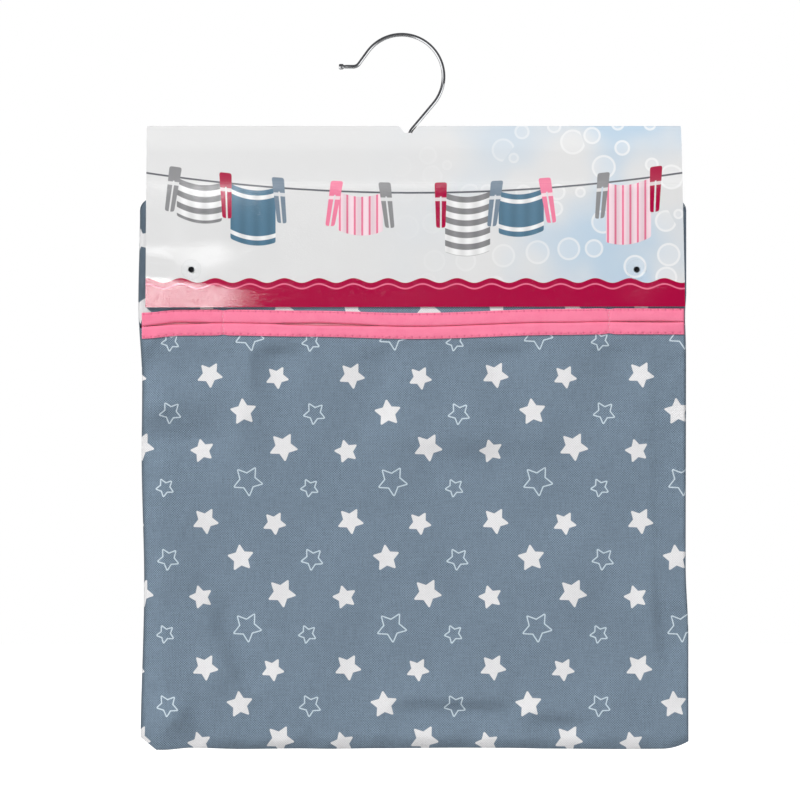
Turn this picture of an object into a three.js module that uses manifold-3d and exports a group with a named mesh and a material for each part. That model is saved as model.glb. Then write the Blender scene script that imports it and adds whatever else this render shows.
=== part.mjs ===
// A peg bag: a flat printed-cloth bag on a small wooden coat hanger, with a wire hook that turns in
// the hanger, a bound slit of a mouth across its front, and the folded header card it is sold with.
// Millimetres, +Z up, front towards -Y. The origin is on the hook's swivel axis, at the inside of the
// hook, where a washing line or rail carries the bag.

import * as THREE from "three";
import { LoftGeometry } from "three/addons/geometries/LoftGeometry.js";
import { mergeVertices } from "three/addons/utils/BufferGeometryUtils.js";
import Module from "manifold-3d";

const wasm = await Module();
wasm.setup();

// Driving dimensions: clearances
const gap = 0.3;
const swivelClearance = 0.3;

// Driving dimensions: hook
const wire = 2.4;
const hookRadius = 22.6;
const hookSideways = 3.6;
const hookTailAngle = 140;
const hookThroatAngle = 38;
const hookLean = 10.4;
const hookTail = 6.5;
const tailBendRadius = 4;
const stemBendRadius = 10;
const stemShow = 7;
const tipDiameter = 3.3;
const tipLength = 3;
const headOverhang = 1.3;
const headHeight = 1.6;
const washerOverhang = 2.1;
const washerThickness = 0.8;

// Driving dimensions: hanger
const hangerThickness = 10;
const hangerBossHeight = 26;
const hangerArmHeight = 14;
const hangerEdgeRound = 2;
const hangerEndClearance = 1.5;
const hangerTopFlat = 4;

// Driving dimensions: cloth bag
const bagWidth = 300;
const sideHeight = 295;
const shoulderRise = 39;
const shoulderCorner = 10;
const bottomCorner = 8;
const bagSideways = 3;
const clothThickness = 0.6;
const edgeTaper = 12;
const seamWidth = 6;
const seamThickness = 1.2;
const neckClearance = 1.5;
const backBelly = 0.4;
const bellyRun = 10;

// Driving dimensions: mouth and its bindings
const mouthDrop = 62;
const mouthEndInset = 44;
const mouthGap = 1;
const bindingWidth = 7.5;
const tapeThickness = 0.5;
const flapHeight = 100;
const threadThickness = 0.5;
const threadInset = 1.2;
const tackWidth = 1;

// Driving dimensions: header card and the studs that hold it
const cardSideInset = 2.5;
const cardThickness = 0.5;
const cardHeadroom = 8.5;
const cardMouthGap = 2.3;
const notchClearance = 0.5;
const studInset = 25;
const studRise = 20;
const studFlange = 11;
const studFlangeThickness = 0.8;
const studBarrel = 4.4;
const studBore = 2.8;

// Facets
const wireSides = 10;
const hookSteps = 84;
const roundSides = 24;

// Hook: its centreline in the XZ plane, from the tip to the stem's foot
const wireRadius = wire / 2;
const innerRadius = hookRadius - wireRadius;
const arcCentre = new THREE.Vector3(-hookSideways, 0, -Math.sqrt(innerRadius ** 2 - hookSideways ** 2));
const tailAngle = THREE.MathUtils.degToRad(hookTailAngle);
const throatAngle = THREE.MathUtils.degToRad(-hookThroatAngle);
const throatSlope = Math.PI / 2 + throatAngle;

class ArcXZ extends THREE.Curve {
  constructor(centre, radius, from, to) {
    super();
    Object.assign(this, { centre, radius, from, to });
  }
  getPoint(t, target = new THREE.Vector3()) {
    const angle = THREE.MathUtils.lerp(this.from, this.to, t);
    const { centre, radius } = this;
    return target.set(centre.x + radius * Math.cos(angle), 0, centre.z + radius * Math.sin(angle));
  }
}

const onArc = (angle) => new ArcXZ(arcCentre, hookRadius, angle, angle).getPoint(0);
const tailStart = onArc(tailAngle);
const throatEnd = onArc(throatAngle);

// The straight throat runs down to the swivel axis, and a bend turns it into the stem.
const throatMeetsAxisZ = throatEnd.z - throatEnd.x * Math.tan(throatSlope);
const stemTurn = Math.PI / 2 - throatSlope;
const stemBendRun = stemBendRadius * Math.tan(stemTurn / 2);
const stemTopZ = throatMeetsAxisZ - stemBendRun;
const stemBendCentre = new THREE.Vector3(stemBendRadius, 0, stemTopZ);
const stemBendFrom = Math.PI - stemTurn;

// Levels that the bag and the card take from the hook
const half = bagWidth / 2;
const neckHalf = bagSideways + wireRadius + neckClearance;
const shoulderSlope = shoulderRise / (half - neckHalf);
const bossTopZ = stemTopZ - stemShow;
const armPeakZ = bossTopZ + shoulderSlope * hangerTopFlat;
const neckZ = armPeakZ + seamWidth + gap + shoulderSlope * (bagSideways - neckHalf);
const sideTopZ = neckZ - shoulderRise;
const bottomZ = sideTopZ - sideHeight;
const slitZ = sideTopZ - mouthDrop;
const lipZ = slitZ - mouthGap / 2;
const upperLipZ = slitZ + mouthGap / 2;
const flapFootZ = lipZ - flapHeight;
const washerSeatZ = bossTopZ - hangerBossHeight + washerThickness + headHeight;
const stemFootZ = washerSeatZ - gap - washerThickness - gap - headHeight;

// Half widths, and half depths from the middle plane out through the layers
const cardHalf = half - cardSideInset;
const mouthHalf = half - mouthEndInset;
const fullDepth = hangerThickness / 2 + gap + clothThickness / 2;
const seamDepth = seamThickness / 2 + gap + clothThickness / 2;
const neckDepth = Math.max(seamDepth, wireRadius + gap + clothThickness / 2);
const shoulderTaper = seamWidth + hangerEdgeRound + 2 * gap;
const bindingReach = clothThickness / 2 + gap + tapeThickness;
const bindingFace = fullDepth + bindingReach;
const cardInside = fullDepth + clothThickness / 2 + gap;
const cardOutside = cardInside + cardThickness;

// Solids: closed geometries joined and cut
function solidOf(geometry) {
  const bare = new THREE.BufferGeometry();
  bare.setAttribute("position", geometry.getAttribute("position"));
  bare.setIndex(geometry.index);
  const merged = mergeVertices(bare, 1e-4);
  return new wasm.Manifold(
    new wasm.Mesh({
      numProp: 3,
      vertProperties: merged.attributes.position.array,
      triVerts: new Uint32Array(merged.index.array),
    }),
  );
}

function geometryOf(solid) {
  const mesh = solid.getMesh();
  const geometry = new THREE.BufferGeometry();
  geometry.setAttribute("position", new THREE.BufferAttribute(new Float32Array(mesh.vertProperties), 3));
  geometry.setIndex(new THREE.BufferAttribute(new Uint32Array(mesh.triVerts), 1));
  return geometry;
}

const cut = (geometry, ...tools) =>
  geometryOf(tools.reduce((solid, tool) => solid.subtract(solidOf(tool)), solidOf(geometry)));
const join = (geometry, ...others) =>
  geometryOf(others.reduce((solid, other) => solid.add(solidOf(other)), solidOf(geometry)));
const common = (geometry, other) => geometryOf(solidOf(geometry).intersect(solidOf(other)));

// A box between two corners
function boxBetween(low, high) {
  const size = low.map((value, axis) => high[axis] - value);
  const middle = low.map((value, axis) => (high[axis] + value) / 2);
  return new THREE.BoxGeometry(...size).translate(...middle);
}

// A flat outline in XZ, made solid between two depths
function slab(points, fromY, toY) {
  const shape = new THREE.Shape(points.map(([x, z]) => new THREE.Vector2(x, z)));
  const geometry = new THREE.ExtrudeGeometry(shape, { depth: toY - fromY, bevelEnabled: false });
  return geometry.rotateX(Math.PI / 2).translate(0, toY, 0);
}

// A round bar along Y, for the stud holes
const barAlongY = (radius, x, z) =>
  new THREE.CylinderGeometry(radius, radius, 4 * cardOutside, roundSides).translate(x, 0, z);

// A round bar along Z, from one height to another
const barAlongZ = (radius, lowZ, highZ) =>
  new THREE.CylinderGeometry(radius, radius, highZ - lowZ, roundSides)
    .rotateX(Math.PI / 2)
    .translate(0, 0, (lowZ + highZ) / 2);

// The bag's outline, as heights across its width
function shoulderLine(x) {
  return neckZ - shoulderSlope * Math.max(0, Math.abs(x) - neckHalf);
}

function topEdge(x) {
  const past = Math.max(0, Math.abs(x) - (half - shoulderCorner));
  return shoulderLine(x) - shoulderCorner + Math.sqrt(shoulderCorner ** 2 - past ** 2);
}

const bottomEdge = (x) => bottomZ + Math.max(0, Math.abs(x) - (half - bottomCorner));

// How far a panel's middle lies from the bag's middle plane: full depth inside, drawn in at the seams
const swell = (share) => Math.sin((THREE.MathUtils.clamp(share, 0, 1) * Math.PI) / 2);

function panelDepth(x, z, belly = 0) {
  const fromSide = (half - Math.abs(x)) / edgeTaper;
  const fromBottom = (z - bottomEdge(x)) / edgeTaper;
  const fromTop = (topEdge(x) - z) / shoulderTaper;
  const atNeck = fromTop < fromBottom ? THREE.MathUtils.clamp(2 - Math.abs(x) / neckHalf, 0, 1) : 0;
  const edgeDepth = THREE.MathUtils.lerp(seamDepth, neckDepth, atNeck);
  const share = swell(Math.min(fromSide, fromBottom, fromTop));
  return THREE.MathUtils.lerp(edgeDepth, fullDepth + belly, share);
}

// Columns across the bag, close together where the cloth curves in to the side seams
const taperShares = [0, 0.15, 0.4, 0.7, 1];
const taperColumns = taperShares.map((share) => half - share * edgeTaper).reverse();
const rightColumns = [neckHalf, 2 * neckHalf, ...taperColumns];
const allColumns = [...rightColumns.map((x) => -x).reverse(), 0, ...rightColumns];
const columnsBetween = (from, to) => [from, ...allColumns.filter((x) => x > from && x < to), to];

const bottomRows = (x) => taperShares.map((share) => bottomEdge(x) + share * edgeTaper);
const topRows = (x) => taperShares.map((share) => topEdge(x) - share * shoulderTaper).reverse();

// A cloth panel on the front (side -1) or the back (side 1), through the rows given for each column
function panel(side, rowsAt, bellyAt = () => 0) {
  const sections = allColumns.map((x) => {
    const at = (z, offset) => new THREE.Vector3(x, side * panelDepth(x, z, bellyAt(z)) + offset, z);
    const rows = rowsAt(x);
    const rear = rows.map((z) => at(z, clothThickness / 2));
    const fore = rows.map((z) => at(z, -clothThickness / 2)).reverse();
    return [...rear, ...fore];
  });
  return new LoftGeometry(sections, { capStart: true, capEnd: true });
}

// A tape folded over a cloth edge at edgeZ: legs run up (way 1) or down (way -1) from the fold
function binding(edgeZ, way, from, to) {
  const inner = clothThickness / 2 + gap;
  const profile = [
    [bindingReach, bindingWidth],
    [inner, bindingWidth],
    [inner, tapeThickness],
    [-inner, tapeThickness],
    [-inner, bindingWidth],
    [-bindingReach, bindingWidth],
    [-bindingReach, 0],
    [bindingReach, 0],
  ];
  const sections = columnsBetween(from, to).map((x) => {
    const middle = -panelDepth(x, edgeZ);
    const ring = profile.map(([y, z]) => new THREE.Vector3(x, middle + y, edgeZ + way * z));
    return way > 0 ? ring : ring.reverse();
  });
  return new LoftGeometry(sections, { capStart: true, capEnd: true });
}

// A row of stitching on a binding's face
function stitchRow(z, from, to) {
  const sections = columnsBetween(from, to).map((x) => {
    const rear = -panelDepth(x, z) - bindingReach - gap;
    const fore = rear - threadThickness;
    const low = z - threadThickness / 2;
    const high = z + threadThickness / 2;
    const corners = [[rear, low], [rear, high], [fore, high], [fore, low]];
    return corners.map(([y, height]) => new THREE.Vector3(x, y, height));
  });
  return new LoftGeometry(sections, { capStart: true, capEnd: true });
}

// Materials
const standard = (color, roughness, metalness = 0) =>
  new THREE.MeshStandardMaterial({ color, roughness, metalness });
const chrome = standard(0xc9cccf, 0.12, 1);
const wood = standard(0xc79f6b, 0.6);
const cloth = standard(0x768797, 0.85);
const tape = standard(0xfb84a4, 0.8);
const thread = standard(0xe0688c, 0.75);
const board = standard(0xe2e2e2, 0.35);
const clear = standard(0xeef3f5, 0.1);
clear.transparent = true;
clear.opacity = 0.4;

const group = new THREE.Group();
const bag = new THREE.Group();
bag.position.x = bagSideways;
group.add(bag);

function add(parent, name, geometry, material) {
  const mesh = new THREE.Mesh(geometry, material);
  mesh.name = name;
  parent.add(mesh);
}

// Hook: one bent wire with a rounded tip, headed over below the hanger
function hookPath() {
  const tailTurn = Math.PI - tailAngle;
  const leanAngle = tailAngle + Math.PI / 2;
  const lean = new THREE.Vector3(Math.cos(leanAngle), 0, Math.sin(leanAngle));
  const bendRun = tailBendRadius * Math.tan((Math.PI / 2 - tailTurn) / 2);
  const corner = tailStart.clone().addScaledVector(lean, hookLean + bendRun);
  const bendEntry = corner.clone().addScaledVector(lean, -bendRun);
  const bendCentre = new THREE.Vector3(corner.x - bendRun, 0, corner.z + tailBendRadius);
  const tip = new THREE.Vector3(bendCentre.x - hookTail, 0, corner.z);
  const bendExit = new THREE.Vector3(bendCentre.x, 0, corner.z);
  const stemEntry = new ArcXZ(stemBendCentre, stemBendRadius, stemBendFrom, stemBendFrom).getPoint(0);
  const stemTop = new THREE.Vector3(0, 0, stemTopZ);
  const stemFoot = new THREE.Vector3(0, 0, stemFootZ);
  const path = new THREE.CurvePath();
  path.add(new THREE.LineCurve3(tip, bendExit));
  path.add(new ArcXZ(bendCentre, tailBendRadius, -Math.PI / 2, tailAngle - Math.PI));
  path.add(new THREE.LineCurve3(bendEntry, tailStart));
  path.add(new ArcXZ(arcCentre, hookRadius, tailAngle, throatAngle));
  path.add(new THREE.LineCurve3(throatEnd, stemEntry));
  path.add(new ArcXZ(stemBendCentre, stemBendRadius, stemBendFrom, Math.PI));
  path.add(new THREE.LineCurve3(stemTop, stemFoot));
  return { path, tip };
}

const { path, tip } = hookPath();
const wireSection = new THREE.Shape();
wireSection.absarc(0, 0, wireRadius, 0, 2 * Math.PI);
const hookWire = new THREE.ExtrudeGeometry(wireSection, {
  extrudePath: path,
  steps: hookSteps,
  curveSegments: wireSides,
});
const hookTip = new THREE.SphereGeometry(tipDiameter / 2, roundSides / 2, roundSides / 3)
  .rotateZ(Math.PI / 2)
  .scale(tipLength / tipDiameter, 1, 1)
  .translate(tip.x, 0, tip.z);
const hookHead = barAlongZ(wireRadius + headOverhang, stemFootZ, stemFootZ + headHeight);
add(group, "hook", join(hookWire, hookTip, hookHead), chrome);

// Washer between the hook's head and the hanger
function ring(inner, outer, low, high) {
  const profile = [[inner, low], [outer, low], [outer, high], [inner, high], [inner, low]];
  return new THREE.LatheGeometry(profile.map(([r, y]) => new THREE.Vector2(r, y)), roundSides);
}

const washerRadius = wireRadius + washerOverhang;
const washer = ring(wireRadius + swivelClearance, washerRadius, 0, washerThickness).rotateX(Math.PI / 2);
add(group, "hook_washer", washer.translate(0, 0, washerSeatZ - gap - washerThickness), chrome);

// Hanger: two sloping arms from a deeper boss, bored for the stem and counterbored for its head
const armReach = half - bagSideways - edgeTaper - hangerEndClearance;
const armTop = (x) => armPeakZ - shoulderSlope * x;

function hangerOutline() {
  const endRound = hangerArmHeight / 2;
  const roundX = armReach - endRound;
  const endTop = armTop(armReach);
  const endFoot = endTop - hangerArmHeight;
  const bossFoot = bossTopZ - hangerBossHeight;
  const shape = new THREE.Shape();
  shape.moveTo(-hangerTopFlat, bossTopZ);
  shape.lineTo(hangerTopFlat, bossTopZ);
  shape.lineTo(roundX, armTop(roundX));
  shape.quadraticCurveTo(armReach, endTop, armReach, endTop - endRound);
  shape.quadraticCurveTo(armReach, endFoot, roundX, endFoot);
  shape.quadraticCurveTo(armReach / 2, bossFoot, 0, bossFoot);
  shape.quadraticCurveTo(-armReach / 2, bossFoot, -roundX, endFoot);
  shape.quadraticCurveTo(-armReach, endFoot, -armReach, endTop - endRound);
  shape.quadraticCurveTo(-armReach, endTop, -roundX, armTop(roundX));
  shape.closePath();
  return shape;
}

const hangerBlank = new THREE.ExtrudeGeometry(hangerOutline(), {
  depth: hangerThickness - 2 * hangerEdgeRound,
  bevelThickness: hangerEdgeRound,
  bevelSize: hangerEdgeRound,
  bevelOffset: -hangerEdgeRound,
  bevelSegments: 2,
  curveSegments: 8,
})
  .translate(0, 0, hangerEdgeRound - hangerThickness / 2)
  .rotateX(Math.PI / 2);
const stemBore = barAlongZ(wireRadius + swivelClearance, stemFootZ - gap, bossTopZ + gap);
const headPocket = barAlongZ(washerRadius + gap, stemFootZ - hangerBossHeight, washerSeatZ);
add(group, "hanger", cut(hangerBlank, stemBore, headPocket), wood);

// Cloth panels
const studX = cardHalf - studInset;
const cardFootZ = upperLipZ + bindingWidth + cardMouthGap;
const studZ = cardFootZ + studRise;
const studHoles = [-studX, studX].map((x) => barAlongY(studBarrel / 2 + gap, x, studZ));
const yokeFootZ = upperLipZ + tapeThickness + gap;
const panelTopZ = lipZ - tapeThickness - gap;

// The card presses the cloth against the hanger, and below it the back stands out a little, flat.
const bellyTopZ = cardFootZ - bellyRun;
const backBellyAt = (z) => backBelly * THREE.MathUtils.clamp((cardFootZ - z) / bellyRun, 0, 1);
const backRows = (x) => [...bottomRows(x), bellyTopZ, cardFootZ, ...topRows(x)];
add(bag, "back_panel", cut(panel(1, backRows, backBellyAt), ...studHoles), cloth);
add(bag, "front_yoke", cut(panel(-1, (x) => [yokeFootZ, ...topRows(x)]), ...studHoles), cloth);

// The front panel is one cut of cloth. Its middle, under the mouth, bends out as the flap.
const frontWhole = panel(-1, (x) => [...bottomRows(x), panelTopZ]);

function flapRoom(margin) {
  const reach = mouthHalf - margin;
  return boxBetween([-reach, -2 * cardOutside, flapFootZ - gap + margin], [reach, 0, slitZ]);
}

add(bag, "front_panel", cut(frontWhole, flapRoom(0)), cloth);
add(bag, "mouth_flap", common(frontWhole, flapRoom(gap)), cloth);

// Bindings, cut clear of the seam strips where they reach the side seams
const seamRooms = [-1, 1].map((side) => {
  const depth = seamThickness / 2 + gap;
  const reach = [half - seamWidth - gap, half + seamWidth].map((x) => side * x).sort((a, b) => a - b);
  return boxBetween([reach[0], -depth, bottomZ], [reach[1], depth, sideTopZ]);
});
const lowerSpans = {
  left: [-half, -mouthHalf],
  centre: [-mouthHalf + gap, mouthHalf - gap],
  right: [mouthHalf, half],
};
add(bag, "upper_binding", cut(binding(upperLipZ, 1, -half, half), ...seamRooms), tape);
add(bag, "upper_binding_thread", stitchRow(upperLipZ + bindingWidth - threadInset, -half, half), thread);
for (const [place, [from, to]] of Object.entries(lowerSpans)) {
  add(bag, `lower_binding_${place}`, cut(binding(lipZ, -1, from, to), ...seamRooms), tape);
  add(bag, `lower_binding_thread_${place}`, stitchRow(lipZ - bindingWidth + threadInset, from, to), thread);
}

// Bar tacks that close the ends of the mouth, between the two rows of stitching
const tackReach = mouthGap / 2 + bindingWidth - threadInset - threadThickness / 2 - gap;
for (const [place, x] of [["left", -mouthHalf - tackWidth], ["right", mouthHalf]]) {
  const low = [x, -bindingFace - gap - threadThickness, slitZ - tackReach];
  const high = [x + tackWidth, -bindingFace - gap, slitZ + tackReach];
  add(bag, `bar_tack_${place}`, boxBetween(low, high), thread);
}

// Seam strips: the turned-in edges of both panels, oversewn together inside the bag
const seamBack = -seamThickness / 2;
const seamFore = seamThickness / 2;
const cornerInset = Math.max(bottomCorner, seamWidth) + gap;
add(
  bag,
  "bottom_seam",
  boxBetween([-half + cornerInset, seamBack, bottomZ], [half - cornerInset, seamFore, bottomZ + seamWidth]),
  cloth,
);
for (const [place, side] of [["left", -1], ["right", 1]]) {
  const inX = [side * half, side * (half - seamWidth)].sort((a, b) => a - b);
  const low = [inX[0], seamBack, bottomZ + cornerInset];
  const high = [inX[1], seamFore, sideTopZ - shoulderCorner];
  add(bag, `side_seam_${place}`, boxBetween(low, high), cloth);
  const outer = side * (half - shoulderCorner);
  const inner = side * neckHalf;
  const strip = [
    [inner, shoulderLine(inner)],
    [outer, shoulderLine(outer)],
    [outer, shoulderLine(outer) - seamWidth],
    [inner, shoulderLine(inner) - seamWidth],
  ];
  add(bag, `shoulder_seam_${place}`, slab(strip, seamBack, seamFore), cloth);
}

// Header card: one sheet folded over the bag, notched at the fold so that the hook can turn
const foldZ = neckZ + cardHeadroom;
const foldInside = wireRadius + 2 * swivelClearance;
const foldOutside = foldInside + cardThickness;

function cardOutline() {
  const arc = (radius, from, to) => {
    const steps = roundSides / 4;
    return Array.from({ length: steps + 1 }, (_, i) => {
      const angle = THREE.MathUtils.lerp(from, to, i / steps);
      return [radius * Math.cos(angle), foldZ - foldOutside + radius * Math.sin(angle)];
    });
  };
  return [
    [cardInside, cardFootZ],
    [cardOutside, cardFootZ],
    [cardOutside, neckZ],
    ...arc(foldOutside, 0, Math.PI),
    [-cardOutside, neckZ],
    [-cardOutside, cardFootZ],
    [-cardInside, cardFootZ],
    [-cardInside, neckZ],
    ...arc(foldInside, Math.PI, 0),
    [cardInside, neckZ],
  ];
}

// The notch takes the cone that the hook's slanting throat sweeps where it passes the fold.
function cardNotch() {
  const wireHalf = wireRadius / Math.sin(throatSlope);
  const throatReach = (z) => (z - throatMeetsAxisZ) / Math.tan(throatSlope) + wireHalf;
  const flare = (cardInside - foldInside) / (foldZ - foldOutside - neckZ);
  const lean = 1 / Math.tan(throatSlope);
  const sideZ = foldZ - foldOutside;
  const footZ = sideZ + (foldInside - throatReach(sideZ)) / (lean + flare) - notchClearance;
  const topHalf = throatReach(foldZ) + notchClearance;
  const footHalf = wireHalf + notchClearance;
  const lip = foldOutside;
  const spread = (topHalf - footHalf) / (foldZ - footZ);
  const points = [
    [-bagSideways - footHalf, footZ],
    [-bagSideways + footHalf, footZ],
    [-bagSideways + topHalf + spread * lip, foldZ + lip],
    [-bagSideways - topHalf - spread * lip, foldZ + lip],
  ];
  return slab(points, -2 * cardOutside, 2 * cardOutside);
}

const cardSections = [-cardHalf, cardHalf].map((x) =>
  cardOutline().map(([y, z]) => new THREE.Vector3(x, y, z)),
);
const cardBlank = new LoftGeometry(cardSections, { capStart: true, capEnd: true });
add(bag, "header_card", cut(cardBlank, cardNotch(), ...studHoles), board);

// Clear studs through card and bag: a flanged hollow barrel from the front and a cap ring behind
const flangeBack = cardOutside + gap;
const flangeFront = flangeBack + studFlangeThickness;

function studProfile() {
  const points = [
    [studBore / 2, -flangeFront],
    [studFlange / 2, -flangeFront],
    [studFlange / 2, -flangeBack],
    [studBarrel / 2, -flangeBack],
    [studBarrel / 2, flangeFront],
    [studBore / 2, flangeFront],
    [studBore / 2, -flangeFront],
  ];
  return points.map(([r, y]) => new THREE.Vector2(r, y));
}

for (const [place, x] of [["left", -studX], ["right", studX]]) {
  const stud = new THREE.LatheGeometry(studProfile(), roundSides).translate(x, 0, studZ);
  const cap = ring(studBarrel / 2 + gap, studFlange / 2, flangeBack, flangeFront).translate(x, 0, studZ);
  add(bag, `card_stud_${place}`, stud, clear);
  add(bag, `card_stud_cap_${place}`, cap, clear);
}

export default group;
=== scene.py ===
"""Looks of a cloth peg bag that hangs from a wire hook, with its bound mouth and folded header card.

Lengths are written in millimetres and scaled to metres when a mesh is made. The bag faces -Y.
"""

import math

import bpy
import numpy as np
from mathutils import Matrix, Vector

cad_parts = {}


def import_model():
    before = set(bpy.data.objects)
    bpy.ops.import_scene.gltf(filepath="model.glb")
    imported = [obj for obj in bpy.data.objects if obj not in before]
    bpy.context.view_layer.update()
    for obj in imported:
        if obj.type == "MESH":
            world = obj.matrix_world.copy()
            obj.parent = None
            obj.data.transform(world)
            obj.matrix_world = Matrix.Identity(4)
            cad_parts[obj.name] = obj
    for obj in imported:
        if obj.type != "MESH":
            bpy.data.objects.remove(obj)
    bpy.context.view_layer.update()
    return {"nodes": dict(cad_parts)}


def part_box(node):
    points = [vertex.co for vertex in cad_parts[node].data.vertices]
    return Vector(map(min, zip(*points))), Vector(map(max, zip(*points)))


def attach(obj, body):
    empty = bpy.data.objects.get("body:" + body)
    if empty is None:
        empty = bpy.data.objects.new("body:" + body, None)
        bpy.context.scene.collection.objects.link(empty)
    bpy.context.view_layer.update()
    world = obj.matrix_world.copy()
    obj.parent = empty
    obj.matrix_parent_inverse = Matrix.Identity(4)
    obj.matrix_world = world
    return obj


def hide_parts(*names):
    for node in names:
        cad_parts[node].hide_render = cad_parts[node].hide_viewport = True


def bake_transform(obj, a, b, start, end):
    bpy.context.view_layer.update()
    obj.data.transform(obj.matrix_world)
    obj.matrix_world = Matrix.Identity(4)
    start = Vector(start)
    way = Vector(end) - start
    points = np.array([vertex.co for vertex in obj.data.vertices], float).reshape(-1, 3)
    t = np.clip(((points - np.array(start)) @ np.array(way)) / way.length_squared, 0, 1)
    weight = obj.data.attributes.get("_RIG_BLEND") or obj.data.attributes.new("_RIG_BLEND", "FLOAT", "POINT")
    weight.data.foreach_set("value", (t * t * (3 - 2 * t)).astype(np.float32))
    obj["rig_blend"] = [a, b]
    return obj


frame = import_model()
MM = 0.001
UP = np.array((0.0, 0.0, 1.0))


# Sizes taken from the frame
def span(node):
    """Lowest and highest corner of a node, in millimetres."""
    low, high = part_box(node)
    return np.array(low) / MM, np.array(high) / MM


BACK_LOW, BACK_HIGH = span("back_panel")
MIDDLE_X = (BACK_LOW[0] + BACK_HIGH[0]) / 2
HALF = (BACK_HIGH[0] - BACK_LOW[0]) / 2
BOTTOM, NECK = BACK_LOW[2], BACK_HIGH[2]
FACE = -span("front_yoke")[0][1]
BACK_FACE = BACK_HIGH[1]
FLAP_LOW, FLAP_HIGH = span("mouth_flap")
CLOTH = FLAP_HIGH[1] - FLAP_LOW[1]
UPPER_LOW, UPPER_HIGH = span("upper_binding")
LOWER_LOW, LOWER_HIGH = span("lower_binding_centre")
SLIT = (UPPER_LOW[2] + LOWER_HIGH[2]) / 2
UPPER_WIDTH = UPPER_HIGH[2] - UPPER_LOW[2]
TAPE_TRIM = 0.5
LOWER_WIDTH = LOWER_HIGH[2] - LOWER_LOW[2] - TAPE_TRIM
MOUTH_HALF = span("bar_tack_right")[0][0] - MIDDLE_X
SHOULDER_LOW, SHOULDER_HIGH = span("shoulder_seam_left")
SIDE_LOW, SIDE_HIGH = span("side_seam_left")
SEAM = SIDE_HIGH[0] - SIDE_LOW[0]
SEAM_HALF = SIDE_HIGH[1]
NECK_HALF = MIDDLE_X - SHOULDER_HIGH[0]
SHOULDER_SLOPE = (SHOULDER_HIGH[2] - SHOULDER_LOW[2] - SEAM) / (SHOULDER_HIGH[0] - SHOULDER_LOW[0])
SHOULDER_CORNER = SHOULDER_LOW[0] - BACK_LOW[0]
CARD_LOW, CARD_HIGH = span("header_card")
CARD_HALF = (CARD_HIGH[0] - CARD_LOW[0]) / 2
STUD_LOW, STUD_HIGH = span("card_stud_left")
STUD_CAP_LOW = span("card_stud_cap_left")[0]
HOOK_FOOT = span("hook")[0][2]


# Numbers and noise
def eased(points):
    """A smooth line through (place, value) points, as a function of place."""
    places, values = (np.array(column, float) for column in zip(*points))

    def at(place):
        place = np.clip(place, places[0], places[-1])
        i = np.clip(np.searchsorted(places, place, "right") - 1, 0, len(places) - 2)
        t = (place - places[i]) / (places[i + 1] - places[i])
        return values[i] + (values[i + 1] - values[i]) * t * t * (3 - 2 * t)

    return at


def smooth_step(low, high, value):
    t = np.clip((value - low) / (high - low), 0, 1)
    return t * t * (3 - 2 * t)


def bell(value, reach):
    """1 where a value is 0, falling to 0 within a few times its reach."""
    return np.exp(-((value / reach) ** 2))


def ripple(x, z, wavelength, seed, waves=7):
    """Smooth noise of about unit height: a few sine waves in seeded directions."""
    random = np.random.RandomState(seed)
    total = 0
    for _ in range(waves):
        angle, phase, stretch = random.uniform((0, 0, 0.7), (math.pi, 2 * math.pi, 1.4))
        along = x * math.cos(angle) + z * math.sin(angle)
        total = total + np.sin(2 * math.pi * along / (wavelength * stretch) + phase)
    return total / math.sqrt(waves)


FOLD_FADE = 12


def fold(x, z, start, end, widths, height, power=2.0):
    """A ridge (or valley, where height is below 0) along a line, with a width on its left and its right.

    A power of 2 rounds the ridge's top, and one near 1 makes it a crease.
    """
    run = np.array(end, float) - np.array(start, float)
    length = np.hypot(*run)
    along = ((x - start[0]) * run[0] + (z - start[1]) * run[1]) / length
    beside = ((x - start[0]) * run[1] - (z - start[1]) * run[0]) / length
    fade = smooth_step(-FOLD_FADE / 2, FOLD_FADE, along)
    fade = fade * smooth_step(length + FOLD_FADE / 2, length - FOLD_FADE, along)
    share = np.abs(beside) / np.where(beside < 0, widths[0], widths[1])
    return height * fade * np.exp(-(share**power))


# Outline of the bag: x is counted from its middle
LEFT_INSET = eased([(BOTTOM, -0.6), (-300, 1.4), (-230, 0), (-190, 0.3), (-146, -1.8), (-96, -0.9)])
RIGHT_INSET = eased([(BOTTOM, -1.25), (-330, -1.15), (-290, 0.3), (-175, 0.1), (-152, 0.6), (-140, 0)])
LEFT_CHAMFER = (8.6, 7.0)
RIGHT_ROUND = (12.8, 4.0, 1.8)
BOTTOM_RISE = eased([
    (-150, -1.0), (-138, -1.2), (-122, 0.0), (-95, -0.7), (-62, -0.4), (-46, -0.6), (-20, -0.3), (25, 0.0),
    (50, -0.1), (75, -0.5), (112, -0.75), (135, -0.6), (140, -0.4),
])
SHOULDER_ROUND = 5
SHOULDER_LIFT = (6, 105, 140)


def left_edge(z):
    return -HALF + LEFT_INSET(z)


def right_edge(z):
    return HALF - RIGHT_INSET(z)


def bottom_edge(x):
    cut = np.clip((-x - HALF) / LEFT_CHAMFER[0] + 1, 0, 1)
    along = np.clip((x - (HALF - RIGHT_ROUND[0])) / RIGHT_ROUND[0], 0, 1)
    rounded = RIGHT_ROUND[1] * along ** RIGHT_ROUND[2]
    return BOTTOM + LEFT_CHAMFER[1] * cut + rounded + BOTTOM_RISE(x)


def shoulder_edge(x):
    away = np.abs(x)
    lift, lift_from, lift_full = SHOULDER_LIFT
    line = NECK - SHOULDER_SLOPE * np.maximum(0, away - NECK_HALF)
    line = line + lift * smooth_step(lift_from, lift_full, away)
    past = np.clip(away - (HALF - SHOULDER_ROUND), 0, SHOULDER_ROUND)
    return line - SHOULDER_ROUND + np.sqrt(SHOULDER_ROUND**2 - past**2)


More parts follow.
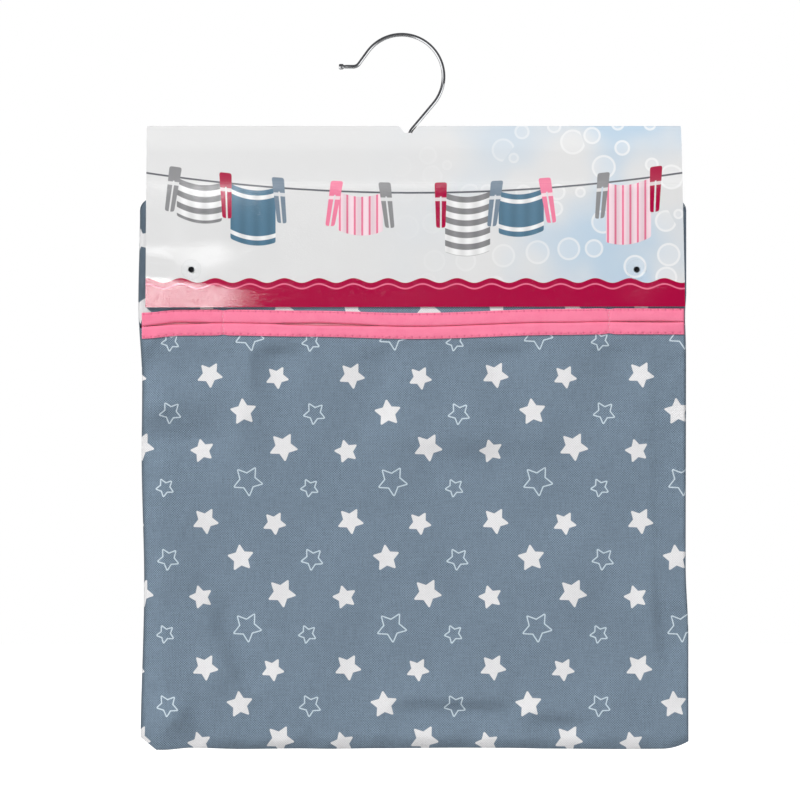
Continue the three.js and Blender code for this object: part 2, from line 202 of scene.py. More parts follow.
SLIT_RISE = eased([
    (-150, -0.9), (-128, 0.8), (-105, 0.9), (-60, 0.3), (0, -1.0), (80, 1.2), (108, 1.6), (150, 1.5),
])


def slit_line(x):
    return SLIT + SLIT_RISE(x)


# Depth of the cloth's outer face from the bag's middle plane
EDGE_DEPTH = CLOTH + 0.1
LEFT_TAPER, RIGHT_TAPER = 2.5, 1.7
BOTTOM_TAPER = eased([
    (-150, 6), (-141, 8), (-131, 17), (-122, 12), (-114, 6.5), (-82, 6), (-75, 4.5), (-66, 6.5), (-57, 9.5),
    (-49, 6.5), (-20, 7.5), (10, 6.5), (40, 6), (80, 6), (120, 7.5), (135, 8.5), (150, 7),
])
BOTTOM_ROLL = 1.3
SHOULDER_TAPER = 8.6
EDGE_ROLL = 2.4
SLACK_SIDE, SLACK_FOOT = 0.3, 0.35
SLACK_FROM, SLACK_FULL = -125, -185
SLACK_RISE = 60
SLACK_BESIDE = (0.5, 1.0)
HELD_FLAT = 0.06
FREE_FROM, FREE_FULL = 8, 16
PUCKER_REACH = 10
PUCKER_DRAW = 0.25
PUCKER_SIDE, PUCKER_FOOT = (0.33, 15), (0.42, 17)
PUCKER_SEED = 20
NECK_DEPTH = 2.2
NECK_FADE = (40, 8)
BELLY_FADE = 12
FRONT_SEED, BACK_SEED = 11, 31

# Each fold: a line from one (x, z) to another, its width to the left and right of that way, and its height
FRONT_FOLDS = [
    ((130.5, -337), (129.4, -130), (13, 2.2), 0.54),
    ((134.5, -347), (130.8, -300), (6, 3), 0.96),
    ((-137, -384), (-137, -222), (8, 16), 1.8),
    ((-12, -362), (54, -363.5), (10, 4.5), 1.92),
    ((-12, -370.6), (54, -372.3), (4.5, 8), -1.56),
    ((58, -369.5), (94, -373), (8, 4), 1.8),
    ((58, -377.3), (94, -380), (4, 6), -1.2),
    ((-23, -218), (80, -221), (14, 7), 1.56),
    ((0, -232), (50, -233.5), (6, 14), -1.32),
    ((-119.2, -309), (-101.7, -359), (9, 15), 1.9),
    ((-107.3, -309), (-89.6, -359), (13, 7), -1.7),
    ((-151, -203), (-106, -197), (14, 10), 2.4),
    ((-156, -223), (-100, -220), (10, 13), -2.6, 1.4),
    ((-147, -210), (-130, -200), (8, 3), 0.84),
    ((-89.7, -158), (-90.3, -195), (2.5, 4), 0.6),
    ((-95.8, -191), (-92.5, -243.5), (12, 10), 0.84),
    ((-140, -374.5), (-123, -373.5), (10, 12), 4.5),
    ((20, -280), (95, -310), (14, 14), 0.6),
    ((-60, -250), (-40, -330), (15, 15), 0.6),
    ((-88, -177), (-63, -177), (7, 20), -3.0),
    ((-158, -183), (-139, -180), (8, 14), -3.0),
    ((34, -175.5), (63, -175), (6, 20), -2.0),
    ((-31, -179), (-7, -179), (7, 20), -1.5),
    ((98, -176), (126, -176), (7, 20), -1.0),
]
# Gathers where the front hangs from its tape: place along the tape, width, height and lean
GATHERS = [
    (-143, 3.2, 0.7, -0.5), (-81, 4.5, 0.9, 0.2), (-70, 5.0, 0.9, 0.3), (-19, 7.0, 0.5, 0.0),
    (42, 8.0, 0.7, 0.3), (57, 6.0, 0.6, -0.2), (121, 6.0, 0.6, 0.2),
]
GATHER_TOP, GATHER_REACH = 4.0, 6.5
BACK_FOLDS = [
    ((-110, -160), (-70, -260), (9, 14), 0.9),
    ((105, -160), (80, -280), (14, 8), 1.0),
    ((-30, -300), (60, -340), (12, 7), 0.9),
    ((-125, -330), (-90, -372), (6, 9), -0.9),
    ((118, -320), (96, -370), (6, 9), -0.8),
    ((-10, -180), (10, -240), (14, 14), -0.5),
]


def soft_least(*values, sharpness=5):
    """The least of some positive values, rounded where two are alike."""
    total = sum(np.maximum(v, 1e-3) ** -sharpness for v in values)
    return total ** (-1 / sharpness)


def swell(share, roll=EDGE_ROLL):
    """How far the cloth has rolled out, 0 to 1, at a share of the way in from its edge."""
    return (1 - (1 - np.clip(share, 0, 1)) ** roll) ** (1 / roll)


def fullness(x, z):
    """Share of the full depth: the empty bag lies flatter towards its foot and its sides."""
    below = smooth_step(SLIT, BOTTOM + SLACK_RISE, z)
    beside = smooth_step(*SLACK_BESIDE, np.abs(x) / HALF) * smooth_step(SLACK_FROM, SLACK_FULL, z)
    return 1 - SLACK_FOOT * below - SLACK_SIDE * beside


MOTTLE = ((75, 0.42), (38, 0.28), (20, 0.1))


def wrinkles(x, z, folds, seed):
    """How far the cloth stands out of its smooth shape, free below the mouth and held flat above it."""
    free = HELD_FLAT + (1 - HELD_FLAT) * smooth_step(SLIT - FREE_FROM, SLIT - FREE_FULL, z)
    relief = sum(fold(x, z, *line) for line in folds)
    for wavelength, height in MOTTLE:
        relief = relief + height * ripple(x, z, wavelength, seed + int(wavelength))
    return free * relief


def gathers(x, z):
    """Small bulges just below the mouth's lower tape."""
    below = slit_line(x) - LOWER_WIDTH - z
    reach = bell(np.maximum(below, 0), GATHER_REACH) * smooth_step(-GATHER_TOP, 0, below)
    total = 0
    for place, width, height, lean in GATHERS:
        total = total + height * bell(x - place - lean * below, width)
    return reach * total


def puckers(x, z, seed):
    """Small gathers that the stitching leaves along the side and bottom seams."""
    side = np.minimum(x - left_edge(z), right_edge(z) - x)
    base = z - bottom_edge(x)
    at_side = bell(side, PUCKER_REACH) * ripple(PUCKER_DRAW * x, z, PUCKER_SIDE[1], seed)
    at_base = bell(base, PUCKER_REACH) * ripple(x, PUCKER_DRAW * z, PUCKER_FOOT[1], seed + 1)
    return PUCKER_SIDE[0] * at_side + PUCKER_FOOT[0] * at_base


def depth(x, z, face, folds, seed):
    """Distance of a panel's outer face from the middle plane."""
    side = np.minimum((x - left_edge(z)) / LEFT_TAPER, (right_edge(z) - x) / RIGHT_TAPER)
    base = (z - bottom_edge(x)) / BOTTOM_TAPER(x)
    top = (shoulder_edge(x) - z) / SHOULDER_TAPER
    inside = swell(soft_least(side, top)) * swell(base, BOTTOM_ROLL)
    at_neck = smooth_step(NECK - NECK_FADE[0], NECK - NECK_FADE[1], z)
    at_neck = smooth_step(2 * NECK_HALF, NECK_HALF, np.abs(x)) * at_neck
    edge = EDGE_DEPTH + (NECK_DEPTH - EDGE_DEPTH) * at_neck
    relief = wrinkles(x, z, folds, seed) + puckers(x, z, seed + PUCKER_SEED)
    return edge + (face - edge) * inside * fullness(x, z) + relief * inside


def front_depth(x, z):
    return depth(x, z, FACE, FRONT_FOLDS, FRONT_SEED) + gathers(x, z)


def back_depth(x, z):
    belly = smooth_step(CARD_LOW[2], CARD_LOW[2] - BELLY_FADE, z)
    face = FACE + (BACK_FACE - FACE) * belly
    return depth(x, z, face, BACK_FOLDS, BACK_SEED)


# Meshes
def make_object(name, points, faces, materials, face_slots=None, smooth=True, cloth=None):
    """A mesh object from points in millimetres; cloth gives each point its place on the flat cloth."""
    mesh = bpy.data.meshes.new(name)
    mesh.from_pydata((np.asarray(points) * MM).tolist(), [], [list(map(int, face)) for face in faces])
    for material in materials:
        mesh.materials.append(material)
    if face_slots is not None:
        mesh.polygons.foreach_set("material_index", np.asarray(face_slots, np.int32))
    mesh.polygons.foreach_set("use_smooth", np.full(len(mesh.polygons), smooth))
    if cloth is not None:
        attribute = mesh.attributes.new("cloth", "FLOAT_VECTOR", "POINT")
        flat = np.zeros((len(points), 3), np.float32)
        flat[:, : cloth.shape[1]] = cloth
        attribute.data.foreach_set("vector", flat.ravel())
    mesh.update()
    made = bpy.data.objects.new(name, mesh)
    bpy.context.scene.collection.objects.link(made)
    return made


def grid_faces(rows, columns, start=0, wrap=False):
    """Quads of a grid of points stored row by row; wrap joins the last column to the first."""
    row, column = np.meshgrid(np.arange(rows - 1), np.arange(columns if wrap else columns - 1), indexing="ij")
    here = start + row * columns + column
    beside = start + row * columns + (column + 1) % columns
    return np.stack([here, beside, beside + columns, here + columns], -1).reshape(-1, 4)


def join_parts(parts):
    """One list of points and faces from several."""
    points, faces, start = [], [], 0
    for part_points, part_faces in parts:
        points.append(np.asarray(part_points, float))
        faces.extend([[start + int(i) for i in face] for face in part_faces])
        start += len(part_points)
    return np.concatenate(points), faces


def normals_of(surface):
    """Unit normals of a grid of points: across its rows, then up its columns."""
    across = np.gradient(surface, axis=1)
    upward = np.gradient(surface, axis=0)
    normal = np.cross(across, upward)
    return normal / np.maximum(np.linalg.norm(normal, axis=-1, keepdims=True), 1e-9)


def thick_sheet(name, outer, thickness, cloth, materials):
    """A closed sheet of cloth: the outer face, the inner face a thickness behind it, and the cut edge."""
    rows, columns = outer.shape[:2]
    inner = outer - normals_of(outer) * thickness
    count = rows * columns
    front = grid_faces(rows, columns)
    behind = grid_faces(rows, columns, count)[:, ::-1]
    index = np.arange(count).reshape(rows, columns)
    rim = np.concatenate([index[0, :-1], index[:-1, -1], index[-1, :0:-1], index[:0:-1, 0]])
    following = np.roll(rim, -1)
    edge = np.stack([rim, rim + count, following + count, following], -1)
    points = np.concatenate([outer.reshape(-1, 3), inner.reshape(-1, 3)])
    faces = np.concatenate([front, behind, edge])
    slots = np.concatenate([np.zeros(len(front)), np.ones(len(behind)), np.zeros(len(edge))])
    flat = np.tile(cloth.reshape(-1, cloth.shape[-1]), (2, 1))
    return make_object(name, points, faces, materials, slots, cloth=flat)


def sweep(path, radii, sides, normal=(0.0, 1.0, 0.0)):
    """Points and faces of a closed tube along a path that lies square to normal, with round ends."""
    path = np.asarray(path, float)
    radii = np.broadcast_to(np.asarray(radii, float), len(path))
    forward = np.gradient(path, axis=0)
    forward /= np.linalg.norm(forward, axis=1, keepdims=True)
    normal = np.asarray(normal, float)
    across = np.cross(forward, normal)
    turn = np.linspace(0, 2 * math.pi, sides, endpoint=False)
    ring = np.cos(turn)[None, :, None] * across[:, None] + np.sin(turn)[None, :, None] * normal
    points = (path[:, None] + radii[:, None, None] * ring).reshape(-1, 3)
    faces = list(grid_faces(len(path), sides, wrap=True)[:, ::-1])
    last = len(points) - sides
    faces.append(list(range(sides)))
    faces.append(list(range(last, last + sides))[::-1])
    return points, faces


def lathe(profile, sides, centre):
    """Points and faces of a closed profile of (radius, y) turned about a line along Y through centre."""
    profile = np.asarray(profile, float)
    turn = np.linspace(0, 2 * math.pi, sides, endpoint=False)
    x = centre[0] + profile[:, :1] * np.cos(turn)
    z = centre[2] + profile[:, :1] * np.sin(turn)
    y = centre[1] + np.repeat(profile[:, 1:], sides, 1)
    points = np.stack([x, y, z], -1)
    closed = np.concatenate([points, points[:1]]).reshape(-1, 3)
    faces = grid_faces(len(profile) + 1, sides, wrap=True) % (len(profile) * sides)
    return closed[: len(profile) * sides], faces[:, ::-1]


# Material nodes
def arithmetic(operation):
    """A method that adds a math node for one operation."""
    return lambda self, other=None: self.nodes.math(operation, self, other)


class Field:
    """What a node gives out over a surface, with arithmetic that adds math nodes."""

    def __init__(self, nodes, socket):
        self.nodes = nodes
        self.socket = socket

    __add__ = arithmetic("ADD")
    __sub__ = arithmetic("SUBTRACT")
    __mul__ = arithmetic("MULTIPLY")
    __truediv__ = arithmetic("DIVIDE")
    __gt__ = arithmetic("GREATER_THAN")
    __lt__ = arithmetic("LESS_THAN")
    __abs__ = arithmetic("ABSOLUTE")

    def __rsub__(self, other):
        return self.nodes.math("SUBTRACT", other, self)


class Nodes:
    """Short ways to add and join shader nodes in one tree."""

    def __init__(self, tree):
        self.tree = tree

    def fill(self, node, inputs):
        """Links a field to an input or sets the input's own value; None leaves it as it is."""
        for key, value in inputs.items():
            if isinstance(value, Field):
                self.tree.links.new(value.socket, node.inputs[key])
            elif value is not None:
                node.inputs[key].default_value = value
        return node

    def add(self, kind, inputs=None, **settings):
        node = self.tree.nodes.new(kind)
        for key, value in settings.items():
            setattr(node, key, value)
        return self.fill(node, inputs or {})

    def out(self, kind, inputs=None, output=0, **settings):
        return Field(self, self.add(kind, inputs, **settings).outputs[output])

    def math(self, operation, a, b=None, c=None):
        return self.out("ShaderNodeMath", {0: a, 1: b, 2: c}, operation=operation)

    def most(self, a, b):
        return self.math("MAXIMUM", a, b)

    def wrap(self, value, length):
        return self.math("WRAP", value, length, 0.0)

    def wave(self, value, length):
        return self.math("SINE", value * (2 * math.pi / length))

    def vector(self, operation, a, b=None, c=None, output=0):
        return self.out("ShaderNodeVectorMath", {0: a, 1: b, 2: c}, output, operation=operation)

    def length(self, vector):
        return self.vector("LENGTH", vector, output=1)

    def split(self, vector):
        return [Field(self, part) for part in self.add("ShaderNodeSeparateXYZ", {0: vector}).outputs]

    def join(self, x, y):
        return self.out("ShaderNodeCombineXYZ", {0: x, 1: y})

    def grey(self, value):
        return self.out("ShaderNodeCombineColor", {0: value, 1: value, 2: value})

    def place(self):
        return self.out("ShaderNodeTexCoord", output="Object")

    def flat_cloth(self):
        return self.out("ShaderNodeAttribute", output="Vector", attribute_name="cloth")

    def mix(self, factor, a, b, blend="MIX"):
        inputs = {"Factor": factor, 6: a, 7: b}
        return self.out("ShaderNodeMix", inputs, 2, data_type="RGBA", blend_type=blend)

    def ramp(self, value, low, high, out_low=0.0, out_high=1.0, smooth=True):
        kind = "SMOOTHSTEP" if smooth else "LINEAR"
        inputs = {"Value": value, "From Min": low, "From Max": high, "To Min": out_low, "To Max": out_high}
        return self.out("ShaderNodeMapRange", inputs, interpolation_type=kind)

    def noise(self, vector, scale, detail=2.0, roughness=0.5):
        inputs = {"Vector": vector, "Scale": scale, "Detail": detail, "Roughness": roughness}
        return self.out("ShaderNodeTexNoise", inputs)

    def bump(self, height, strength, distance):
        return self.out("ShaderNodeBump", {"Height": height, "Strength": strength, "Distance": distance})


class Material(Nodes):
    """The nodes of one new material, around its shader."""

    def __init__(self, name):
        self.made = bpy.data.materials.new(name)
        self.made.use_nodes = True
        super().__init__(self.made.node_tree)
        self.shader = self.tree.nodes["Principled BSDF"]

    def surface(self, inputs):
        """Fills the shader's sockets and gives the finished material."""
        self.fill(self.shader, inputs)
        return self.made


def srgb(red, green, blue):
    """A linear colour from the 0 to 255 values that a screen shows."""
    values = np.array((red, green, blue)) / 255
    linear = np.where(values <= 0.04045, values / 12.92, ((values + 0.055) / 1.055) ** 2.4)
    return (*linear.tolist(), 1.0)


# Star print: one repeat, in millimetres and degrees, as the cloth lies flat
REPEAT = (79.7, 80.6)
REPEAT_LEAN = 0.0155
STAR_INNER = 0.515
STAR_ROUND = 0.58
OUTLINE_ROUND = 0.7
OUTLINE_WIDTH = 0.68
STAR_SOFT, OUTLINE_SOFT = 0.16, 0.12
INK_RAGGED = (2.2, 0.22)
FRONT_ANCHOR = (-114.4, -185.3)
YOKE_ANCHOR = (-151.4, -150.0)
BACK_ANCHOR = (-95.0, -170.0)
FILLED_STARS = [
    ((0.0, 0.0), 7.95, 277.3),
    ((38.1, -1.3), 7.1, 277.5),
    ((19.9, -20.5), 8.05, 96.7),
    ((-2.6, -42.0), 7.2, 105.4),
    ((42.4, -39.7), 8.6, 278.2),
]
OUTLINED_STARS = [
    ((-20.55, -21.05), 7.15, 264.2),
    ((-22.5, -62.35), 6.1, 260.2),
    ((23.1, -58.55), 9.3, 276.5),
]


def star_group():
    """A node group: distance in millimetres from one star of the repeat, below 0 inside it.

    The star is a smaller one with the round's width laid about it, so its tips are round.
    """
    group = bpy.data.node_groups.new("star_motif", "ShaderNodeTree")
    kinds = {"Place": "Vector", "Centre": "Vector", "Radius": "Float", "Turn": "Float", "Round": "Float"}
    for name, kind in kinds.items():
        group.interface.new_socket(name, in_out="INPUT", socket_type=f"NodeSocket{kind}")
    group.interface.new_socket("Distance", in_out="OUTPUT", socket_type="NodeSocketFloat")
    n = Nodes(group)
    given = n.add("NodeGroupInput").outputs
    place, centre, radius, turn, rounding = (Field(n, given[name]) for name in kinds)
    far = (REPEAT[0] / 2, REPEAT[1] / 2, 1.0)
    near = tuple(-value for value in far)
    local = n.vector("WRAP", n.vector("SUBTRACT", place, centre), far, near)
    x, y, _ = n.split(local)
    half_point = n.math("PINGPONG", n.math("ARCTAN2", y, x) - turn, math.pi / 5)
    reach = n.length(local)
    along = reach * n.math("COSINE", half_point)
    across = reach * n.math("SINE", half_point)
    normal = np.array((STAR_INNER * math.sin(math.pi / 5), 1 - STAR_INNER * math.cos(math.pi / 5)))
    normal = (normal / np.linalg.norm(normal)).tolist()
    past_tip = along - (radius - rounding / normal[0])
    to_edge = past_tip * normal[0] + across * normal[1]
    down_edge = across * normal[0] - past_tip * normal[1]
    more = n.length(n.join(past_tip, across)) - to_edge
    away = (down_edge < 0.0) * more + to_edge
    n.add("NodeGroupOutput", {"Distance": away - rounding})
    return group


STAR_GROUP = star_group()


def print_masks(n, flat, anchor):
    """The cover of the filled stars and of the outlined ones."""
    x, y, _ = n.split(flat)
    place = n.join(x - y * REPEAT_LEAN, y)
    scale, height = INK_RAGGED
    ragged = (n.noise(flat, scale, 1.0) - 0.5) * height
    anchor_x = anchor[0] - REPEAT_LEAN * anchor[1]

    def nearest(stars, roundness):
        least = None
        for (star_x, star_y), radius, turn in stars:
            inputs = {"Place": place, "Centre": (anchor_x + star_x, anchor[1] + star_y, 0.0)}
            inputs.update({"Radius": radius, "Turn": math.radians(turn), "Round": roundness})
            distance = n.out("ShaderNodeGroup", inputs, node_tree=STAR_GROUP)
            least = distance if least is None else n.math("MINIMUM", least, distance)
        return least + ragged

    filled = n.ramp(nearest(FILLED_STARS, STAR_ROUND), STAR_SOFT, -STAR_SOFT)
    half = OUTLINE_WIDTH / 2
    from_line = abs(nearest(OUTLINED_STARS, OUTLINE_ROUND) + half)
    return filled, n.ramp(from_line, half + OUTLINE_SOFT, half - OUTLINE_SOFT)


CLOTH_BLUE = srgb(118, 135, 151)
STAR_WHITE = srgb(233, 232, 233)
OUTLINE_WHITE = srgb(212, 226, 235)
CLOTH_REVERSE = srgb(184, 192, 200)
THREAD_PITCH = (0.678, 0.658)
YARN_SLUB = (1.15, 0.13)
GRAIN_SHARES = (0.42, 0.4, 0.3, 0.26)
WEAVE_SHADE = 0.46
# Painted shade: how much the cloth's colour darkens along the left side and the foot
SEAM_PAINTED_SHADE = 0.52
STAR_COVER, OUTLINE_COVER, REVERSE_COVER = 0.97, 0.86, 0.16


def printed_cloth(name, anchor, reverse=False):
    """Plain-woven cloth with the star print, darkened by painted shade along the left side and the foot; the
    reverse is paler, with the print showing faintly through.
    """
    n = Material(name)
    flat = n.flat_cloth()
    filled, outlined = print_masks(n, flat, anchor)
    x, y, seam = n.split(flat)
    weave = n.wave(x, 2 * THREAD_PITCH[0]) * n.wave(y, 2 * THREAD_PITCH[1])
    fine = n.noise(flat, 1.1, 2.0, 0.6)
    grains = [fine, n.noise(flat, 2.3, 1.0)]
    for slub in (YARN_SLUB, YARN_SLUB[::-1]):
        grains.append(n.noise(n.vector("MULTIPLY", flat, (*slub, 1.0)), 1.0, 1.0))
    tone = n.ramp(n.noise(flat, 0.03, 3.0, 0.6), 0.3, 0.7, 0.965, 1.035, False)
    for grain, share in zip(grains, GRAIN_SHARES):
        tone = (grain - 0.5) * share + tone
    clear = n.ramp(n.noise(flat, 0.06, 2.0), 0.35, 0.65, 0.6 * WEAVE_SHADE, 1.3 * WEAVE_SHADE)
    # Painted shade darkens the cloth along the left side and the foot
    tone = (weave * clear + tone) * n.ramp(seam, 0.0, 1.0, 1.0, 1.0 - SEAM_PAINTED_SHADE, False)
    grey = n.grey(tone)
    show = REVERSE_COVER if reverse else 1.0
    woven = n.mix(1.0, CLOTH_REVERSE if reverse else CLOTH_BLUE, grey, "MULTIPLY")
    inked = n.mix(outlined * (OUTLINE_COVER * show), woven, OUTLINE_WHITE)
    white = n.mix(0.25, STAR_WHITE, n.mix(1.0, STAR_WHITE, grey, "MULTIPLY"))
    return n.surface({
        "Base Color": n.mix(filled * (STAR_COVER * show), inked, white),
        "Roughness": n.ramp(filled, 0.0, 1.0, 0.86, 0.72, False),
        "Normal": n.bump(fine * 0.8 + weave * 0.45, 0.5, 0.00016),
        "Sheen Weight": 0.12,
        "Sheen Roughness": 0.45,
        "Specular IOR Level": 0.3,
    })


TAPE_PINK = srgb(255, 139, 170)
TAPE_SHADE = srgb(247, 119, 154)
# Painted shade in the tape's needle holes
NEEDLE_PAINTED_SHADE = srgb(205, 72, 112)
# Painted light: a pale pink for the facing, the pink tapes' bounced light laid on the pale reverse
BOUNCE_TINT_PALE = srgb(240, 172, 186)
BOUNCE_TINT_DARK = srgb(224, 150, 167)
THREAD_PINK = srgb(247, 122, 155)
TACK_PINK = srgb(250, 176, 196)
TAPE_PITCH = 0.55
THREAD_PLY = 0.00045


def woven_tape(name, pink, shade_pink):
    """Plain-woven cotton tape: a fine basket weave, with painted shade darkening the dents that the needle
    leaves.
    """
    n = Material(name)
    flat = n.flat_cloth()
    x, y, _ = n.split(flat)
    weave = n.wave(x + y, TAPE_PITCH) * n.wave(x - y, TAPE_PITCH)
    fine = n.noise(flat, 1.8, 2.0, 0.6)
    shade = weave * -0.22 + n.ramp(n.noise(flat, 0.12, 3.0, 0.6), 0.3, 0.75, 0.0, 0.45)
    colour = n.mix(fine * 0.9 + (shade - 0.4), pink, shade_pink)
    # Painted shade: the needle holes darken the tape's colour
    dent = n.out("ShaderNodeAttribute", output="Fac", attribute_name="dent")
    return n.surface({
        "Base Color": n.mix(dent * 0.75, colour, NEEDLE_PAINTED_SHADE),
        "Roughness": n.ramp(fine, 0.2, 0.8, 0.72, 0.88, False),
        "Normal": n.bump(weave * 0.5 + fine, 0.35, 0.00012),
        "Sheen Weight": 0.15,
        "Sheen Roughness": 0.4,
        "Specular IOR Level": 0.3,
    })


def sewing_thread(name, colour):
    """Twisted thread: slanting plies with a soft shine."""
    n = Material(name)
    place = n.place()
    x, y, z = n.split(place)
    plies = n.wave(x + z + y, THREAD_PLY)
    darker = (*(0.8 * value for value in colour[:3]), 1.0)
    return n.surface({
        "Base Color": n.mix(n.ramp(plies, -1.0, 1.0, 0.7, 0.0), colour, darker),
        "Roughness": n.ramp(n.noise(place, 2500.0, 2.0), 0.3, 0.7, 0.5, 0.68, False),
        "Normal": n.bump(plies, 0.4, 0.00008),
        "Sheen Weight": 0.1,
    })


CHROME_TONES = (srgb(238, 239, 241), srgb(226, 228, 231))
BEECH_TONES = (srgb(214, 178, 130), srgb(183, 138, 89))
BEECH_FLECK = srgb(140, 98, 60)
GRAIN_STRETCH = (14.0, 160.0, 160.0)
FLECK_STRETCH = (180.0, 1500.0, 1500.0)
PLASTIC_TINT = srgb(246, 249, 250)
# Painted shade: the dark tones of the studs' bore floor and wall
BORE_PAINTED_TONES = (srgb(34, 36, 40), srgb(70, 72, 76))
CORE_TONES = (srgb(238, 236, 232), srgb(214, 212, 207))


def chrome_wire():
    """Bright plating with faint drawing lines and a little haze."""
    n = Material("chrome_plate")
    place = n.place()
    cloudy = n.noise(place, 180.0, 3.0, 0.6)
    return n.surface({
        "Base Color": n.mix(n.ramp(cloudy, 0.35, 0.7), *CHROME_TONES),
        "Metallic": 1.0,
        "Roughness": n.ramp(cloudy, 0.3, 0.75, 0.08, 0.12, False),
        "Normal": n.bump(n.noise(place, 2600.0, 2.0), 0.005, 0.00001),
    })


def hanger_wood():
    """Pale sanded beech: long grain, darker late wood and short flecks."""
    n = Material("beech")
    place = n.place()
    rings = n.noise(n.vector("MULTIPLY", place, GRAIN_STRETCH), 1.0, 4.0, 0.6)
    fleck = n.noise(n.vector("MULTIPLY", place, FLECK_STRETCH), 1.0, 2.0)
    colour = n.mix(n.ramp(rings, 0.35, 0.7), *BEECH_TONES)
    return n.surface({
        "Base Color": n.mix(n.ramp(fleck, 0.62, 0.75, 0.0, 0.5), colour, BEECH_FLECK),
        "Roughness": n.ramp(rings, 0.3, 0.7, 0.5, 0.66, False),
        "Normal": n.bump(rings + fleck, 0.2, 0.0002),
    })


def clear_plastic():
    """Clear moulded plastic with faint flow marks."""
    n = Material("clear_moulding")
    flow = n.noise(n.place(), 420.0, 2.0)
    return n.surface({
        "Base Color": PLASTIC_TINT,
        "Transmission Weight": 1.0,
        "IOR": 1.3,
        "Alpha": 0.2,
        "Roughness": n.ramp(flow, 0.3, 0.7, 0.04, 0.12, False),
        "Normal": n.bump(flow, 0.08, 0.0003),
    })


def painted_shade_bore():
    """The stud's blind bore, coloured dark as painted shade for its shadowed hollow."""
    n = Material("painted_shade_bore")
    bore_mottle = n.noise(n.place(), 1600.0, 3.0)
    return n.surface({
        "Base Color": n.mix(n.ramp(bore_mottle, 0.3, 0.75), *BORE_PAINTED_TONES),
        "Roughness": n.ramp(bore_mottle, 0.3, 0.7, 0.5, 0.8, False),
        "Normal": n.bump(bore_mottle, 0.2, 0.0001),
    })


def board_core():
    """The board's unprinted inside: short white fibres."""
    n = Material("board_core")
    fibres = n.noise(n.place(), 900.0, 4.0, 0.7)
    return n.surface({
        "Base Color": n.mix(n.ramp(fibres, 0.3, 0.7), *CORE_TONES),
        "Roughness": n.ramp(fibres, 0.2, 0.8, 0.8, 0.95, False),
        "Normal": n.bump(fibres, 0.3, 0.0001),
    })


# Card print: towels pegged on a line, over a pale ground with bubbles in a blue corner and a crimson hem
CARD_GREY = srgb(224, 224, 224)
CARD_SKY = srgb(186, 208, 226)
CARD_CRIMSON = srgb(171, 9, 63)
CARD_ROSE = srgb(240, 128, 160)
CARD_STEEL = srgb(118, 135, 151)
CARD_SLATE = srgb(140, 140, 142)
CARD_TEAL = srgb(86, 124, 148)
CARD_BLUSH = srgb(246, 220, 228)
CARD_WHITE = srgb(244, 244, 244)
LINE_GREY = srgb(96, 98, 104)
SKY_REACH = (-0.25, 0.9)
BUBBLE_SCALE, BUBBLE_STRAY = 0.055, 0.85
BUBBLE_RADII = (0.12, 0.36)
HEM_HEIGHT = 14.0
HEM_WAVE = (1.3, 19.0)
HEM_STRIPE = 3.2
LINE_DROP = 26.0
LINE_SAG = 11.0
PEG_PITCH = 29.5
PEG_SIZE = (3.0, 12.5)
PEG_LEG_GAP = 0.45
PEG_LEG_TOP = (5.0, 4.4)
PEG_SPRING = 3.2
PEG_TAPER = 0.035
PEG_SWAY = (2.3, 0.16)
PEG_COLOURS = (CARD_CRIMSON, CARD_STEEL, CARD_ROSE, CARD_SLATE)
TOWEL_HALF = 12.4
TOWEL_LENGTH = (27.0, 6.0, 1.9)
TOWEL_DIP = 2.6
TOWEL_KINDS = 5.0
TOWEL_BANDS, TOWEL_LINES, TOWEL_HEM = 6.5, 4.1, 4.0
INK_SOFT = 0.15
PEG_SOFT = 0.12
LAMINATE_TOP = (1.6, 0.6)
LAMINATE_HAZE = (-86.0, -70.0, 0.07, 0.7)


def sky_print(n, scaled, x, z):
    """The pale ground, bluer towards the right, with bubbles in the blue."""
    sky = n.ramp(x, *(float(share * CARD_HALF) for share in SKY_REACH))
    cloudy = n.noise(scaled, 0.016, 2.0, 0.5)
    colour = n.mix(sky * n.ramp(cloudy, 0.35, 0.62), CARD_GREY, CARD_SKY)
    inputs = {"Vector": n.join(x, z), "Scale": BUBBLE_SCALE, "Randomness": BUBBLE_STRAY}
    cells = n.add("ShaderNodeTexVoronoi", inputs, voronoi_dimensions="2D").outputs
    size = n.out("ShaderNodeSeparateColor", {0: Field(n, cells["Color"])})
    to_rim = Field(n, cells["Distance"]) - n.ramp(size, 0.0, 1.0, *BUBBLE_RADII, False)
    rim = n.ramp(abs(to_rim), 0.05, 0.02)
    inside = n.ramp(to_rim, 0.02, -0.02) * 0.35
    return n.mix(n.most(rim, inside) * (sky * 0.75), colour, CARD_WHITE)


